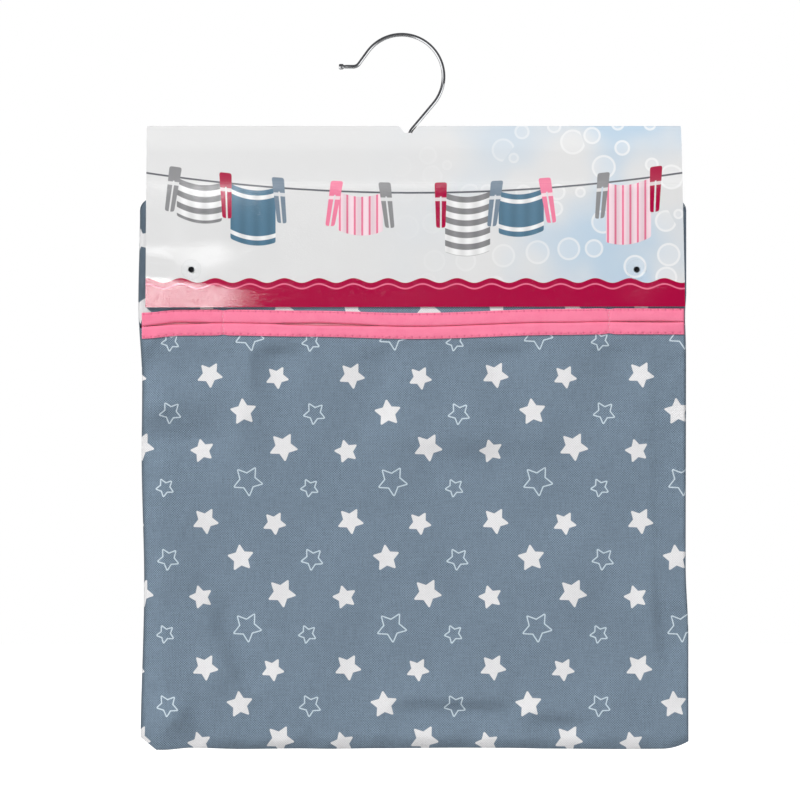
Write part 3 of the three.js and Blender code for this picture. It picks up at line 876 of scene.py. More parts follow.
def towel_print(n, x, below):
    """Plain towels on the line, pegged at their corners: where they are, and their colours."""
    shifted = x + PEG_PITCH / 2
    number = n.math("FLOOR", shifted / PEG_PITCH)
    across = n.wrap(shifted, PEG_PITCH) - PEG_PITCH / 2
    share = across / TOWEL_HALF
    drop = below * -1.0 - (1.0 - share * share) * TOWEL_DIP
    mean, varied, turn = TOWEL_LENGTH
    half = (n.math("SINE", number * turn) * varied + mean) * 0.5
    to_side = abs(across) - TOWEL_HALF
    to_end = abs(drop - half) - half
    hangs = n.ramp(n.math("SMOOTH_MAX", to_side, to_end, 1.5), INK_SOFT, -INK_SOFT)
    kind = n.wrap(number, TOWEL_KINDS)
    hangs = hangs * (n.wrap(kind, 3.0) > 0.5)
    bands = n.ramp(n.wave(drop, TOWEL_BANDS), -0.15, 0.15)
    lines = n.ramp(n.wave(across, TOWEL_LINES), 0.55, 0.75)
    hem = n.ramp(abs(to_end + TOWEL_HEM), 1.3, 1.0)
    colour = n.mix(bands, CARD_WHITE, CARD_SLATE)
    colour = n.mix(kind > 1.5, colour, n.mix(hem, CARD_TEAL, CARD_WHITE))
    colour = n.mix(kind > 2.5, colour, n.mix(lines, CARD_BLUSH, CARD_ROSE))
    drape = n.math("SINE", across * 0.85 + number)
    shade = n.ramp(drape, -1.0, 1.0, 0.84, 1.0, False)
    return hangs, n.mix(1.0, colour, n.grey(shade), "MULTIPLY")


def peg_print(n, x, below):
    """Pegs on the line, each leaning its own way: where they are, and their colours."""
    number = n.math("FLOOR", x / PEG_PITCH)
    sway = n.math("SINE", number * PEG_SWAY[0]) * PEG_SWAY[1]
    up = below + 0.55 * PEG_SIZE[1]
    beside = abs(n.wrap(x, PEG_PITCH) - PEG_PITCH / 2 - up * sway)
    to_side = beside - (up * PEG_TAPER + PEG_SIZE[0])
    to_end = abs(up) - PEG_SIZE[1]
    peg = n.ramp(n.math("SMOOTH_MAX", to_side, to_end, 2.2), PEG_SOFT, -PEG_SOFT)
    leg_gap = n.ramp(beside, PEG_LEG_GAP + PEG_SOFT, PEG_LEG_GAP - PEG_SOFT) * n.ramp(up, *PEG_LEG_TOP)
    spring = n.ramp(abs(up - PEG_SPRING), 1.1, 0.8)
    kind = n.wrap(number, float(len(PEG_COLOURS)))
    colour = PEG_COLOURS[0]
    for i, following in enumerate(PEG_COLOURS[1:]):
        colour = n.mix(kind > i + 0.5, colour, following)
    return peg * (1.0 - leg_gap), n.mix(spring * 0.7, colour, CARD_WHITE)


def hem_print(n, x, z, colour):
    """Lays the wavy hem and its stripe over a colour."""
    height, length = HEM_WAVE
    above = z - (n.wave(x, length) * height + float(CARD_LOW[2] + HEM_HEIGHT))
    colour = n.mix(n.ramp(above, INK_SOFT, -INK_SOFT), colour, CARD_CRIMSON)
    return n.mix(n.ramp(abs(above + HEM_STRIPE), 0.55, 0.32) * 0.85, colour, CARD_ROSE)


def card_print():
    """Gloss laminate over the printed design."""
    n = Material("card_print")
    scaled = n.out("ShaderNodeVectorMath", {0: n.place(), "Scale": 1 / MM}, operation="SCALE")
    x, _, z = n.split(scaled)
    x = x - float(MIDDLE_X)
    colour = sky_print(n, scaled, x, z)
    share = x / float(CARD_HALF)
    below = z - ((1.0 - share * share) * -LINE_SAG + float(CARD_HIGH[2] - LINE_DROP))
    colour = n.mix(n.ramp(abs(below), 0.62, 0.38), colour, LINE_GREY)
    for motif in (towel_print, peg_print):
        cover, inks = motif(n, x, below)
        colour = n.mix(cover, colour, inks)
    coat_low, coat_high = (float(CARD_HIGH[2] - drop) for drop in LAMINATE_TOP)
    frosting = n.bump(n.noise(scaled, 1.3, 2.0), 0.2, 0.0002)
    return n.surface({
        "Base Color": hem_print(n, x, z, colour),
        "Roughness": n.ramp(n.noise(scaled, 0.09, 4.0, 0.65), 0.35, 0.75, 0.4, 0.55, False),
        "Specular IOR Level": 0.02,
        "Coat Weight": n.ramp(z, coat_low, coat_high, 1.0, 0.0),
        "Coat Roughness": n.ramp(z, *LAMINATE_HAZE),
        "Coat IOR": 1.7,
        "Coat Normal": frosting,
        "Normal": frosting,
    })


FRONT_CLOTH = printed_cloth("cloth_front", FRONT_ANCHOR)
YOKE_CLOTH = printed_cloth("cloth_yoke", YOKE_ANCHOR)
BACK_CLOTH = printed_cloth("cloth_back", BACK_ANCHOR)
REVERSE_CLOTH = printed_cloth("cloth_reverse", BACK_ANCHOR, reverse=True)
TAPE = woven_tape("tape_weave", TAPE_PINK, TAPE_SHADE)
# The facing's weave, in a colour with painted pink bounce light
FACING_PAINTED_BOUNCE = woven_tape("facing_bounce_tint", BOUNCE_TINT_PALE, BOUNCE_TINT_DARK)
THREAD = sewing_thread("thread_pink", THREAD_PINK)
TACK_THREAD = sewing_thread("thread_pale", TACK_PINK)
CHROME = chrome_wire()
WOOD = hanger_wood()
CLEAR = clear_plastic()
BORE_PAINTED_SHADE = painted_shade_bore()
CARD_PRINT = card_print()
BOARD = board_core()


# Cloth panels
GRID = 1.5
FINE_EDGE = (0, 0.35, 0.8, 1.4, 2.2, 3.2, 4.4, 5.7)
TUCK = 1.0
# Painted shade: its reach along the left side, for the yoke and for the other panels, and its strength and
# reach along the foot
SEAM_PAINTED_SHADE_REACH = (6.0, 1.5)
FOOT_PAINTED_SHADE = (0.2, 3.4)
# How the front's print was pulled out of true: place, reach across and up, and pull across and up
PRINT_PULLS = [
    ((36, -182), (82, 15), (-1.1, 0)),
    ((-123, -186), (25, 27), (0.55, 0)),
    ((113, -230), (50, 25), (0.7, 0)),
    ((-88, -285), (27, 22), (-0.55, 0)),
    ((-52, -332), (36, 36), (-1.0, 0)),
    ((36, -347), (33, 22), (-0.55, 0)),
    ((-118, -384), (33, 22), (0.77, 0)),
    ((113, -304), (38, 38), (0.44, 0)),
    ((143, -367), (19, 22), (0.55, 0)),
    ((-137, -167), (22, 14), (1.9, 0)),
    ((-13, -199), (60, 38), (0, -0.8)),
    ((-101, -167), (50, 16), (0, -0.8)),
    ((-151, -384), (8, 14), (-1.2, 0)),
]


def print_pull(x, z):
    """How far the print lies from its true place, across and up."""
    total = np.zeros((*x.shape, 2))
    for place, reach, pull in PRINT_PULLS:
        near = bell(x - place[0], reach[0]) * bell(z - place[1], reach[1])
        total += near[..., None] * np.array(pull)
    return total


def stations(low, high, step=GRID):
    """Places from low to high, closer together near both ends."""
    reach = FINE_EDGE[-1]
    inner = np.linspace(low + reach, high - reach, int((high - low - 2 * reach) / step))
    ends = np.array(FINE_EDGE[:-1])
    return np.concatenate([low + ends, inner, high - ends[::-1]])


def panel_grid(side, depth_at, foot_at, top_at, rows, seam_reach):
    """Outer face of a panel, with each point's place on the flat cloth and the share of painted shade that
    darkens it along the left side and the foot.
    """
    across = (stations(-HALF, HALF) + HALF) / (2 * HALF)
    share = stations(0, rows) / rows
    nominal = -HALF + 2 * HALF * across
    foot, top = foot_at(nominal), top_at(nominal)
    z = foot + (top - foot) * share[:, None]
    x = left_edge(z) + (right_edge(z) - left_edge(z)) * across
    y = side * depth_at(x, z)
    surface = np.stack([x + MIDDLE_X, y, z], -1)
    steps = np.linalg.norm(np.diff(surface, axis=1), axis=-1)
    run = np.concatenate([np.zeros((len(share), 1)), np.cumsum(steps, 1)], 1)
    middle = run[:, run.shape[1] // 2][:, None]
    # Painted shade, strongest at the left side and the foot
    foot_painted_shade = FOOT_PAINTED_SHADE[0] * bell(z - bottom_edge(x), FOOT_PAINTED_SHADE[1])
    seam = np.maximum(bell(x - left_edge(z), seam_reach), foot_painted_shade)
    flat = np.stack([run - middle, z, seam], -1)
    return surface, flat


def front_top(x):
    return slit_line(x) - TUCK


def yoke_foot(x):
    return slit_line(x) + TUCK


def cloth_panels():
    """Yoke, front and back, each one cut of cloth."""
    surface, flat = panel_grid(-1, front_depth, yoke_foot, shoulder_edge, NECK - SLIT, SEAM_PAINTED_SHADE_REACH[0])
    yoke = thick_sheet("front_yoke_cloth", surface, CLOTH, flat, [YOKE_CLOTH, REVERSE_CLOTH])
    surface, flat = panel_grid(-1, front_depth, bottom_edge, front_top, SLIT - BOTTOM, SEAM_PAINTED_SHADE_REACH[1])
    flat[..., :2] -= print_pull(surface[..., 0] - MIDDLE_X, surface[..., 2])
    front = thick_sheet("front_panel_cloth", surface, CLOTH, flat, [FRONT_CLOTH, REVERSE_CLOTH])
    surface, flat = panel_grid(1, back_depth, bottom_edge, shoulder_edge, NECK - BOTTOM, SEAM_PAINTED_SHADE_REACH[1])
    surface, flat = surface[:, ::-1], flat[:, ::-1]
    back = thick_sheet("back_panel_cloth", surface, CLOTH, flat, [BACK_CLOTH, REVERSE_CLOTH])
    return yoke, front, back


# Bindings: a tape folded over each edge of the mouth, its legs stitched through
TAPE_OUT = -UPPER_LOW[1] - FACE + CLOTH / 2
TAPE_THICK = 0.55
STITCH = 4.1
STITCH_INSET = 0.95
STITCH_MARGIN = 1.5
TAPE_STEP, FOLD_STEPS = 0.5, 9
TAPE_ENDS = (0.3, 0.2)
TAPE_INSETS = np.array((0.08, 0.35, 0.65, STITCH_INSET, 1.25, 1.6, 2.2, 3.2, 4.3, 5.2))
TAPE_EDGE = (0.35, 0.6)
LEG_INSET = 0.1
TAPE_PUFF = 0.16
PUFF_RIPPLE = (0.35, 19, 51)
OUTER_LEG = 0.3
NEEDLE_REACH = (0.45, 0.5)
NEEDLE_DEPTH = 0.42
GROOVE = (0.1, 0.6)
TACK_X = (-104.9, 107.4)
TACK_PINCH, PINCH_REACH = 0.5, 2.2
TACK_DENT = (0.3, 0.8)
LEAST_OUT = 0.06
MOUTH_GAP = eased([
    (-150, 0.1), (-146, 0.4), (-137, 1.0), (-128, 1.3), (-118, 0.8), (-108, 0.1), (-80, 0.1), (-66, 1.1),
    (-52, 1.6), (-38, 1.2), (-14, 0.2), (60, 0.2), (105, 0.1), (120, 0.5), (136, 0.55), (150, 0.1),
])


def mouth_gap(x):
    """Half the gap between the two tapes."""
    return MOUTH_GAP(x) / 2


def near_tack(x, reach):
    """1 at a bar tack, falling to 0 within a few times reach."""
    return sum(bell(x - place, reach) for place in TACK_X)


def tape_profile(width):
    """A closed ring of (distance from the fold, distance out of the cloth): outer leg to inner leg."""
    turn = np.linspace(math.pi / 2, 3 * math.pi / 2, FOLD_STEPS)
    fold_line = [(TAPE_OUT + TAPE_OUT * math.cos(a), TAPE_OUT * math.sin(a)) for a in turn]
    within = TAPE_OUT - TAPE_THICK
    lining = [(TAPE_OUT + within * math.cos(a), within * math.sin(a)) for a in turn[::-1]]
    thinner, edge = TAPE_EDGE
    outer = [(width - inset, TAPE_OUT - thinner * max(0, 1 - inset / edge)) for inset in TAPE_INSETS]
    inner = [(width - inset, -TAPE_OUT) for inset in TAPE_INSETS[::-3]]
    ends = [(width - LEG_INSET, side * within) for side in (-1, 1)]
    return np.array([*outer, *fold_line, *inner, ends[0], *lining, ends[1]])


def stitch_places():
    count = int((2 * HALF - 2 * STITCH_MARGIN) / STITCH)
    return -HALF + STITCH_MARGIN + STITCH * np.arange(count + 1)


def needle_hole(x, distance, width):
    """1 where the needle went through the tape, falling to 0 round it."""
    from_hole = np.abs((x - stitch_places()[0] + STITCH / 2) % STITCH - STITCH / 2)
    from_row = distance - (width - STITCH_INSET)
    return bell(from_hole, NEEDLE_REACH[0]) * bell(from_row, NEEDLE_REACH[1])


def tape_dent(x, distance, width):
    """How far the stitching pulls the outer leg down: a groove with a deeper dent at each needle hole."""
    groove = GROOVE[0] * bell(distance - (width - STITCH_INSET), GROOVE[1])
    at_tack = TACK_DENT[0] * near_tack(x, TACK_DENT[1])
    return groove + NEEDLE_DEPTH * needle_hole(x, distance, width) + at_tack


def tape_surface(x, distance, out, way, width, edge_at):
    """A point of a tape: distance from its fold, out of the cloth, up (way 1) or down (way -1) the cloth."""
    drawn_in = (TACK_PINCH * near_tack(x, PINCH_REACH) + mouth_gap(x)) * distance / width
    z = edge_at(x) + way * (distance - drawn_in)
    middle = front_depth(x, z) - CLOTH / 2
    puff = TAPE_PUFF * np.sin(math.pi * np.clip(distance / (width - STITCH_INSET), 0, 1)) * (out > 0)
    share, wavelength, seed = PUFF_RIPPLE
    puff = puff * (1 + share * ripple(x, distance, wavelength, seed))
    dent = tape_dent(x, distance, width) * (out > OUTER_LEG)
    y = np.minimum(-(middle + out + puff - dent), -LEAST_OUT)
    return np.stack([x + MIDDLE_X, y, z], -1)


def upper_edge(x):
    return slit_line(x) + mouth_gap(x)


def lower_edge(x):
    return slit_line(x) - mouth_gap(x)


def binding(name, way, width, edge_at):
    """One tape along the whole mouth."""
    profile = tape_profile(width)
    x = np.arange(-HALF + TAPE_ENDS[0], right_edge(SLIT) - TAPE_ENDS[1], TAPE_STEP)
    column = x[:, None] + 0 * profile[:, 0]
    distance, out = profile[:, 0] + 0 * column, profile[:, 1] + 0 * column
    points = tape_surface(column, distance, out, way, width, edge_at)
    rows, ring = points.shape[:2]
    lengths = np.linalg.norm(np.diff(profile, axis=0, append=profile[:1]), axis=1)
    girth = np.concatenate([[0], np.cumsum(lengths)[:-1]])
    flat = np.stack([column, girth + 0 * column], -1).reshape(-1, 2)
    faces = [face[::way] for face in grid_faces(rows, ring, wrap=True)]
    caps = [list(range(ring))[::-1], list(range((rows - 1) * ring, rows * ring))]
    faces += [cap[::way] for cap in caps]
    made = make_object(name, points.reshape(-1, 3), faces, [TAPE], cloth=flat)
    # Where the needle holes take the tape's painted shade
    holes = needle_hole(column, distance, width) * (out > OUTER_LEG)
    attribute = made.data.attributes.new("dent", "FLOAT", "POINT")
    attribute.data.foreach_set("value", holes.ravel().astype(np.float32))
    return made


FACING_BEHIND = 0.35
FACING_STEPS = (0.3, 0.6, 0.9, 1.2, 1.6, 2.2, 3.5, 5)
FACING_TOP, FACING_TURN = 6.5, 4.0
FACING_ROWS = np.array([*(-step for step in FACING_STEPS[::-1]), 0, *FACING_STEPS, FACING_TOP])
FACING_SWELL = 1.15
FACING_BULGE = (1.6, 0.05)
FACING_GAP = (0.1, 0.6)
FACING_INSET, FACING_STEP = 4, 2.0
FACING_LEAST = 0.5


def yoke_facing():
    """The yoke's edge turned under, as a narrow facing behind the mouth that swells into its gap; its outer
    face is a real weave coloured pale pink as painted light, the tapes' pink bounce on the pale reverse.
    """
    x = np.arange(-HALF + FACING_INSET, HALF - FACING_INSET, FACING_STEP)
    rise = FACING_ROWS[:, None] + 0 * x
    z = slit_line(x) + rise
    behind = CLOTH + (TAPE_OUT - CLOTH / 2 + FACING_BEHIND) * smooth_step(FACING_TOP, FACING_TURN, rise)
    gap = mouth_gap(x)
    bulge = np.maximum(0, 1 - (rise / (FACING_BULGE[0] * gap + FACING_BULGE[1])) ** 2)
    swollen = FACING_SWELL * smooth_step(*FACING_GAP, gap) * bulge
    y = np.minimum(-(front_depth(x + 0 * z, z) - behind + swollen), -FACING_LEAST)
    surface = np.stack([x + MIDDLE_X + 0 * z, y, z], -1)
    flat = np.stack([x + 0 * z, z], -1)
    return thick_sheet("yoke_facing", surface, CLOTH, flat, [FACING_PAINTED_BOUNCE, REVERSE_CLOTH])


# Stitches: each a short thread that dips into the tape at both ends
THREAD_RADIUS = 0.2
STITCH_SIDES = 8
STITCH_BOW = np.array((-0.45, -0.14, 0.04, 0.08, 0.04, -0.14, -0.45))
STITCH_TAPER = np.array((0.7, 1.0, 1.0, 1.0, 1.0, 1.0, 0.7))
STITCH_SPAN = np.linspace(0.06, 0.94, len(STITCH_BOW))
STITCH_SINK = 0.3
TACK_STITCHES = 7
TACK_SPAN = np.linspace(0.04, 0.96, len(STITCH_BOW))
TACK_STRAY = (0.35, 2.1)
TACK_SINK = (0.25, 0.7)
TACK_LEAST = 0.6


def stitch_row(name, way, width, edge_at):
    """The row of stitching along a tape."""
    parts = []
    holes = stitch_places()
    holes = holes[holes < right_edge(SLIT) - STITCH_MARGIN]
    for first, second in zip(holes[:-1], holes[1:]):
        x = first + (second - first) * STITCH_SPAN
        distance = np.full_like(x, width - STITCH_INSET)
        line = tape_surface(x, distance, np.full_like(x, TAPE_OUT), way, width, edge_at)
        line[:, 1] -= STITCH_BOW - THREAD_RADIUS * STITCH_SINK
        parts.append(sweep(line, THREAD_RADIUS * STITCH_TAPER, STITCH_SIDES, UP))
    return make_object(name, *join_parts(parts), [THREAD])


def bar_tack(name, x_middle):
    """A line of short stitches up across both tapes, which closes one end of the mouth."""
    parts = []
    top = upper_edge(x_middle) + UPPER_WIDTH - STITCH_INSET - TACK_PINCH
    foot = lower_edge(x_middle) - LOWER_WIDTH + STITCH_INSET + TACK_PINCH
    marks = np.linspace(foot, top, TACK_STITCHES + 1)
    for i, (low, high) in enumerate(zip(marks[:-1], marks[1:])):
        z = low + (high - low) * TACK_SPAN
        x = x_middle + TACK_STRAY[0] * math.sin(TACK_STRAY[1] * i) + 0 * z
        way = np.where(z > slit_line(x), 1, -1)
        width = np.where(way > 0, UPPER_WIDTH, LOWER_WIDTH)
        distance = np.where(way > 0, z - upper_edge(x), lower_edge(x) - z)
        line = tape_surface(x, np.maximum(distance, TACK_LEAST), TAPE_OUT + 0 * x, way, width, slit_line)
        line[:, 1] += TACK_SINK[0] * bell(distance, TACK_SINK[1])
        line[:, 1] -= STITCH_BOW
        line[:, 2] = z
        parts.append(sweep(line, THREAD_RADIUS * STITCH_TAPER, STITCH_SIDES, (1.0, 0.0, 0.0)))
    return make_object(name, *join_parts(parts), [TACK_THREAD])


# Seam allowances: the turned-in edges inside the bag
ALLOWANCE_STEP = 2.5
ALLOWANCE_ROWS = np.array((0.0, 0.12, 0.4, 0.75, 1.0))
ALLOWANCE_WAVE = (0.8, 21, 61)
ALLOWANCE_INSET = 2
SHOULDER_INSET = (0.5, 0.9)
SEAM_END = 1


def allowance(name, start, end, inward):
    """A strip of doubled cloth from start to end, reaching inward by the seam's width."""
    start, end, inward = (np.asarray(v, float) for v in (start, end, inward))
    length = np.linalg.norm(end - start)
    along = np.linspace(0, 1, int(length / ALLOWANCE_STEP))
    across = ALLOWANCE_ROWS
    height, wavelength, seed = ALLOWANCE_WAVE
    place = start + (end - start) * along[:, None, None] + inward * SEAM * across[None, :, None]
    wave = ripple(along[:, None] * length, 0, wavelength, seed) * across**2 * height
    place = np.concatenate([place[..., :1], place[..., 1:2] + wave[..., None], place[..., 2:]], -1)
    place[..., 0] += MIDDLE_X
    across_first = np.cross(end - start, inward)[1] < 0
    outer = place if across_first else place[:, ::-1]
    flat = np.stack([along[:, None] * length + 0 * across, SEAM * across + 0 * along[:, None]], -1)
    flat = flat if across_first else flat[:, ::-1]
    outer = outer + normals_of(outer) * SEAM_HALF / 2
    return thick_sheet(name, outer, SEAM_HALF, flat, [REVERSE_CLOTH, REVERSE_CLOTH])


def seam_allowances():
    """The five seams' allowances, by the node that each stands for."""
    low, high, foot = SIDE_LOW[2], SIDE_HIGH[2], BOTTOM + ALLOWANCE_INSET
    reach = HALF - LEFT_CHAMFER[0] - SEAM_END
    side_x = HALF - ALLOWANCE_INSET
    outer = HALF - SHOULDER_CORNER - SEAM_END
    made = {
        "side_seam_left": allowance("seam_side_left", (-side_x, 0, low), (-side_x, 0, high), (1, 0, 0)),
        "side_seam_right": allowance("seam_side_right", (side_x, 0, low), (side_x, 0, high), (-1, 0, 0)),
        "bottom_seam": allowance("seam_bottom", (-reach, 0, foot), (reach, 0, foot), UP),
    }
    for place, side in (("left", -1), ("right", 1)):
        begin = np.array((side * (NECK_HALF + SHOULDER_INSET[0]), 0, NECK - SHOULDER_INSET[1]))
        finish = begin + np.array((side, 0, -SHOULDER_SLOPE)) * (outer - NECK_HALF)
        inward = np.array((-side * SHOULDER_SLOPE, 0, -1.0)) / math.hypot(1, SHOULDER_SLOPE)
        made[f"shoulder_seam_{place}"] = allowance(f"seam_shoulder_{place}", begin, finish, inward)
    return made


# Hook: one wire from its rounded tip round to the headed stem
WIRE = 2.1
HOOK_RADIUS = 23.1
HOOK_CENTRE = np.array((-3.8, -21.3))
TAIL_ANGLE = math.radians(144)
THROAT_ANGLE = math.radians(-40)
HOOK_LEAN = 8.0
HOOK_TAIL = 6.5
TAIL_BEND = 4.0
STEM_BEND = 10.0
TIP_RADII = np.array((0.9, 1.3, 1.52, 1.58, 1.56, 1.4, 1.0, 0.95, 1.05))
TIP_STEPS = np.array((-1.42, -1.32, -1.05, -0.5, 0.75, 1.05, 1.2, 1.6, 2.6))
HEAD_OVERHANG = 1.3
HEAD_HEIGHT = 1.6
HEAD_ROUND = 0.3
HEAD_EDGE, HEAD_TAPER = 0.1, 0.7
WIRE_STEP, LEAST_STEPS = 0.45, 8
WIRE_SIDES = 28


def arc(centre, radius, start, end):
    steps = max(LEAST_STEPS, int(abs(end - start) * radius / WIRE_STEP))
    turn = np.linspace(start, end, steps)
    return np.stack([centre[0] + radius * np.cos(turn), 0 * turn, centre[1] + radius * np.sin(turn)], -1)


def hook_wire():
    """The hook's smooth wire, with its tip swollen to a bead and its foot headed over."""
    bend = arc(HOOK_CENTRE, HOOK_RADIUS, TAIL_ANGLE, THROAT_ANGLE)
    lean_way = np.array((-math.sin(TAIL_ANGLE), math.cos(TAIL_ANGLE)))
    run = TAIL_BEND * math.tan((TAIL_ANGLE - math.pi / 2) / 2)
    corner = bend[0][[0, 2]] + lean_way * (HOOK_LEAN + run)
    tail_centre = np.array((corner[0] - run, corner[1] + TAIL_BEND))
    tail_bend = arc(tail_centre, TAIL_BEND, -math.pi / 2, TAIL_ANGLE - math.pi)
    tip = np.array((tail_centre[0] - HOOK_TAIL, 0, corner[1]))
    throat = bend[-1]
    turn = -THROAT_ANGLE
    meets = throat[2] - throat[0] / math.tan(turn)
    stem_top = meets - STEM_BEND * math.tan(turn / 2)
    stem_bend = arc((STEM_BEND, stem_top), STEM_BEND, math.pi - turn, math.pi)
    bead = tip + TIP_STEPS[:, None] * np.array((1.0, 0.0, 0.0))
    head_top = HOOK_FOOT + HEAD_HEIGHT
    foot_z = (head_top + HEAD_ROUND, head_top, head_top - HEAD_EDGE, HOOK_FOOT + HEAD_ROUND, HOOK_FOOT)
    foot = [(0, 0, z) for z in foot_z]
    path = np.concatenate([bead, tail_bend, bend, stem_bend, foot])
    radii = np.full(len(path), WIRE / 2)
    radii[: len(TIP_RADII)] = TIP_RADII
    radii[-3:] = WIRE / 2 + np.array((HEAD_OVERHANG, HEAD_OVERHANG, HEAD_TAPER * HEAD_OVERHANG))
    return make_object("hook_wire", *sweep(path, radii, WIRE_SIDES), [CHROME])


# Header card: one sheet folded over the bag, cut by a notch for the hook and by two stud holes
CARD_THICK = 0.5
CARD_TOP_TRIM = (0.5, 0.5)
CARD_FOOT_SPREAD = (0.7, 2.2)
CARD_FOOT_DROP = (0.8, 0.3)
CORNER_TILT, CORNER_BEND = 0.064, 2
CORNER_FROM = (-130.0, 0.13)
CREASE_LINE = eased([(-150, -116.5), (-137, -117.5), (-123, -121.8), (-104, -118.5), (-80, -117)])
CREASE_WIDTH = eased([(-150, 2.8), (-137, 3.6), (-123, 7.0), (-104, 8.6), (-80, 9)])
CREASE_SLOPE = eased([(-150, 0.05), (-123, 0.06), (-108, 0.05), (-90, 0.028), (-70, 0)])
DRAWN_FROM, DRAWN_FULL = -52, -96
TILT_FROM, TILT_FULL = -66, -124
CARD_LEAN = 6
CARD_ROWS, LEAN_ROWS, FOLD_ROWS, CARD_COLUMNS = 90, 14, 15, 150
CARD_SLACK = (0.2, 130, 71)
CARD_HANG = (0.15, 1.0)
STUD_HOLD = (4, 24)
FOLD_RADIUS, FOLD_MEETS = 2.3, 0.8
FOLD_TURN = (math.radians(12), math.radians(168))
NOTCH_TOP, NOTCH_FOOT, NOTCH_DEPTH = 5.4, 2.1, 3.9
STUD_BARREL = 1.6
STUD_PLAY = 0.1
HOLE_SIDES = 28
CUTTER_REACH = 20.0
NOTCH_OVER = 2
CREASE_ANGLE = math.radians(40)


def card_path():
    """The card's outer line from the front foot over the fold to the back foot, as (y, z)."""
    top, foot = CARD_HIGH[2], CARD_LOW[2]
    face = CARD_HIGH[1]
    rise = np.linspace(foot, NECK - CARD_LEAN, CARD_ROWS)
    lean = np.linspace(0, math.pi / 2, LEAN_ROWS)[1:-1]
    lean_y = FOLD_RADIUS + (face - FOLD_RADIUS) * np.cos(lean)
    lean_z = np.linspace(NECK - CARD_LEAN, top - FOLD_RADIUS * FOLD_MEETS, LEAN_ROWS)[1:-1]
    turn = np.linspace(*FOLD_TURN, FOLD_ROWS)
    front = [(-face, z) for z in rise] + [(-y, z) for y, z in zip(lean_y, lean_z)]
    over = [(-FOLD_RADIUS * math.cos(a), top - FOLD_RADIUS + FOLD_RADIUS * math.sin(a)) for a in turn]
    behind = [(-y, z) for y, z in front[::-1]]
    return np.array(front + over + behind)


def corner_lift(x, z):
    """How the card's lower left part stands away: drawn in above its stud, and tilted out below it."""
    line, width = CREASE_LINE(x), CREASE_WIDTH(x)
    drawn_in = CREASE_SLOPE(x) * width * (1 + np.tanh((z - line) / width))
    drawn_in = drawn_in * smooth_step(DRAWN_FROM, DRAWN_FULL, z)
    past = CORNER_FROM[0] - CORNER_FROM[1] * (x + HALF) - z
    bent = np.maximum(past, 0) ** 2 / (2 * CORNER_BEND)
    tilted = CORNER_TILT * np.where(past > CORNER_BEND, past - CORNER_BEND / 2, bent)
    return drawn_in + tilted * smooth_step(TILT_FROM, TILT_FULL, x)


def card_sheet():
    """The folded card with a slight bow, before it is cut."""
    path = card_path()
    across = (np.linspace(-1, 1, CARD_COLUMNS) + 1) / 2
    drop = (CARD_HIGH[2] - path[:, 1]) / (CARD_HIGH[2] - CARD_LOW[2])
    left = -CARD_HALF + CARD_TOP_TRIM[0] - CARD_FOOT_SPREAD[0] * drop
    right = CARD_HALF - CARD_TOP_TRIM[1] + CARD_FOOT_SPREAD[1] * drop
    x = left[:, None] + (right - left)[:, None] * across
    y = path[:, :1] + 0 * x
    lower = CARD_FOOT_DROP[0] + (CARD_FOOT_DROP[1] - CARD_FOOT_DROP[0]) * across
    z = path[:, 1:] - lower * np.clip(drop, 0, 1)[:, None]
    side = np.sign(y)
    hang = smooth_step(*CARD_HANG, drop)[:, None]
    height, wavelength, seed = CARD_SLACK
    slack = np.abs(hang * height * (1 + ripple(x, z, wavelength, seed)))
    for _, middle in stud_centres():
        from_stud = np.hypot(x + MIDDLE_X - middle[0], z - middle[2])
        slack = slack * smooth_step(*STUD_HOLD, from_stud)
    bow = slack + corner_lift(x, z) * (y < 0)
    return np.stack([x + MIDDLE_X, y + side * bow, z], -1)


def notch_prism():
    top, foot = CARD_HIGH[2] + NOTCH_OVER, CARD_HIGH[2] - NOTCH_DEPTH
    wide = NOTCH_TOP + NOTCH_OVER * (NOTCH_TOP - NOTCH_FOOT) / NOTCH_DEPTH
    outline = [(-NOTCH_FOOT, foot), (NOTCH_FOOT, foot), (wide, top), (-wide, top)]
    points = [(x, y, z) for y in (-CUTTER_REACH, CUTTER_REACH) for x, z in outline]
    faces = [(0, 1, 2, 3), (7, 6, 5, 4)] + [(i, i + 4, (i + 1) % 4 + 4, (i + 1) % 4) for i in range(4)]
    return points, faces


def stud_centres():
    middle = (STUD_LOW + STUD_HIGH) / 2
    other = 2 * MIDDLE_X - middle[0]
    return [("left", middle), ("right", np.array((other, middle[1], middle[2])))]


def header_card():
    """The printed card, cut with its notch and stud holes."""
    surface = card_sheet()
    flat = surface[..., [0, 2]]
    card = thick_sheet("header_card_sheet", surface, CARD_THICK, flat, [CARD_PRINT, BOARD])
    holes = [notch_prism()]
    for _, middle in stud_centres():
        rod = [middle + np.array((0, y, 0)) for y in np.linspace(-CUTTER_REACH, CUTTER_REACH, 5)]
        holes.append(sweep(rod, STUD_BARREL + STUD_PLAY, HOLE_SIDES, (1.0, 0.0, 0.0)))
    tool = make_object("card_cutter", *join_parts(holes), [BOARD], smooth=False)
    cut = card.modifiers.new("cut", "BOOLEAN")
    cut.object = tool
    cut.operation = "DIFFERENCE"
    cut.solver = "EXACT"
    bpy.context.view_layer.update()
    result = bpy.data.meshes.new_from_object(card.evaluated_get(bpy.context.evaluated_depsgraph_get()))
    card.modifiers.clear()
    result.set_sharp_from_angle(angle=CREASE_ANGLE)
    card.data = result
    bpy.data.objects.remove(tool)
    return card


# Clear studs that hold the card
STUD_BORE = 1.3
BORE_DEPTH = 1.6
BORE_WEB = 0.6
PIN_HOLE = 0.05
STUD_SIDES = 48


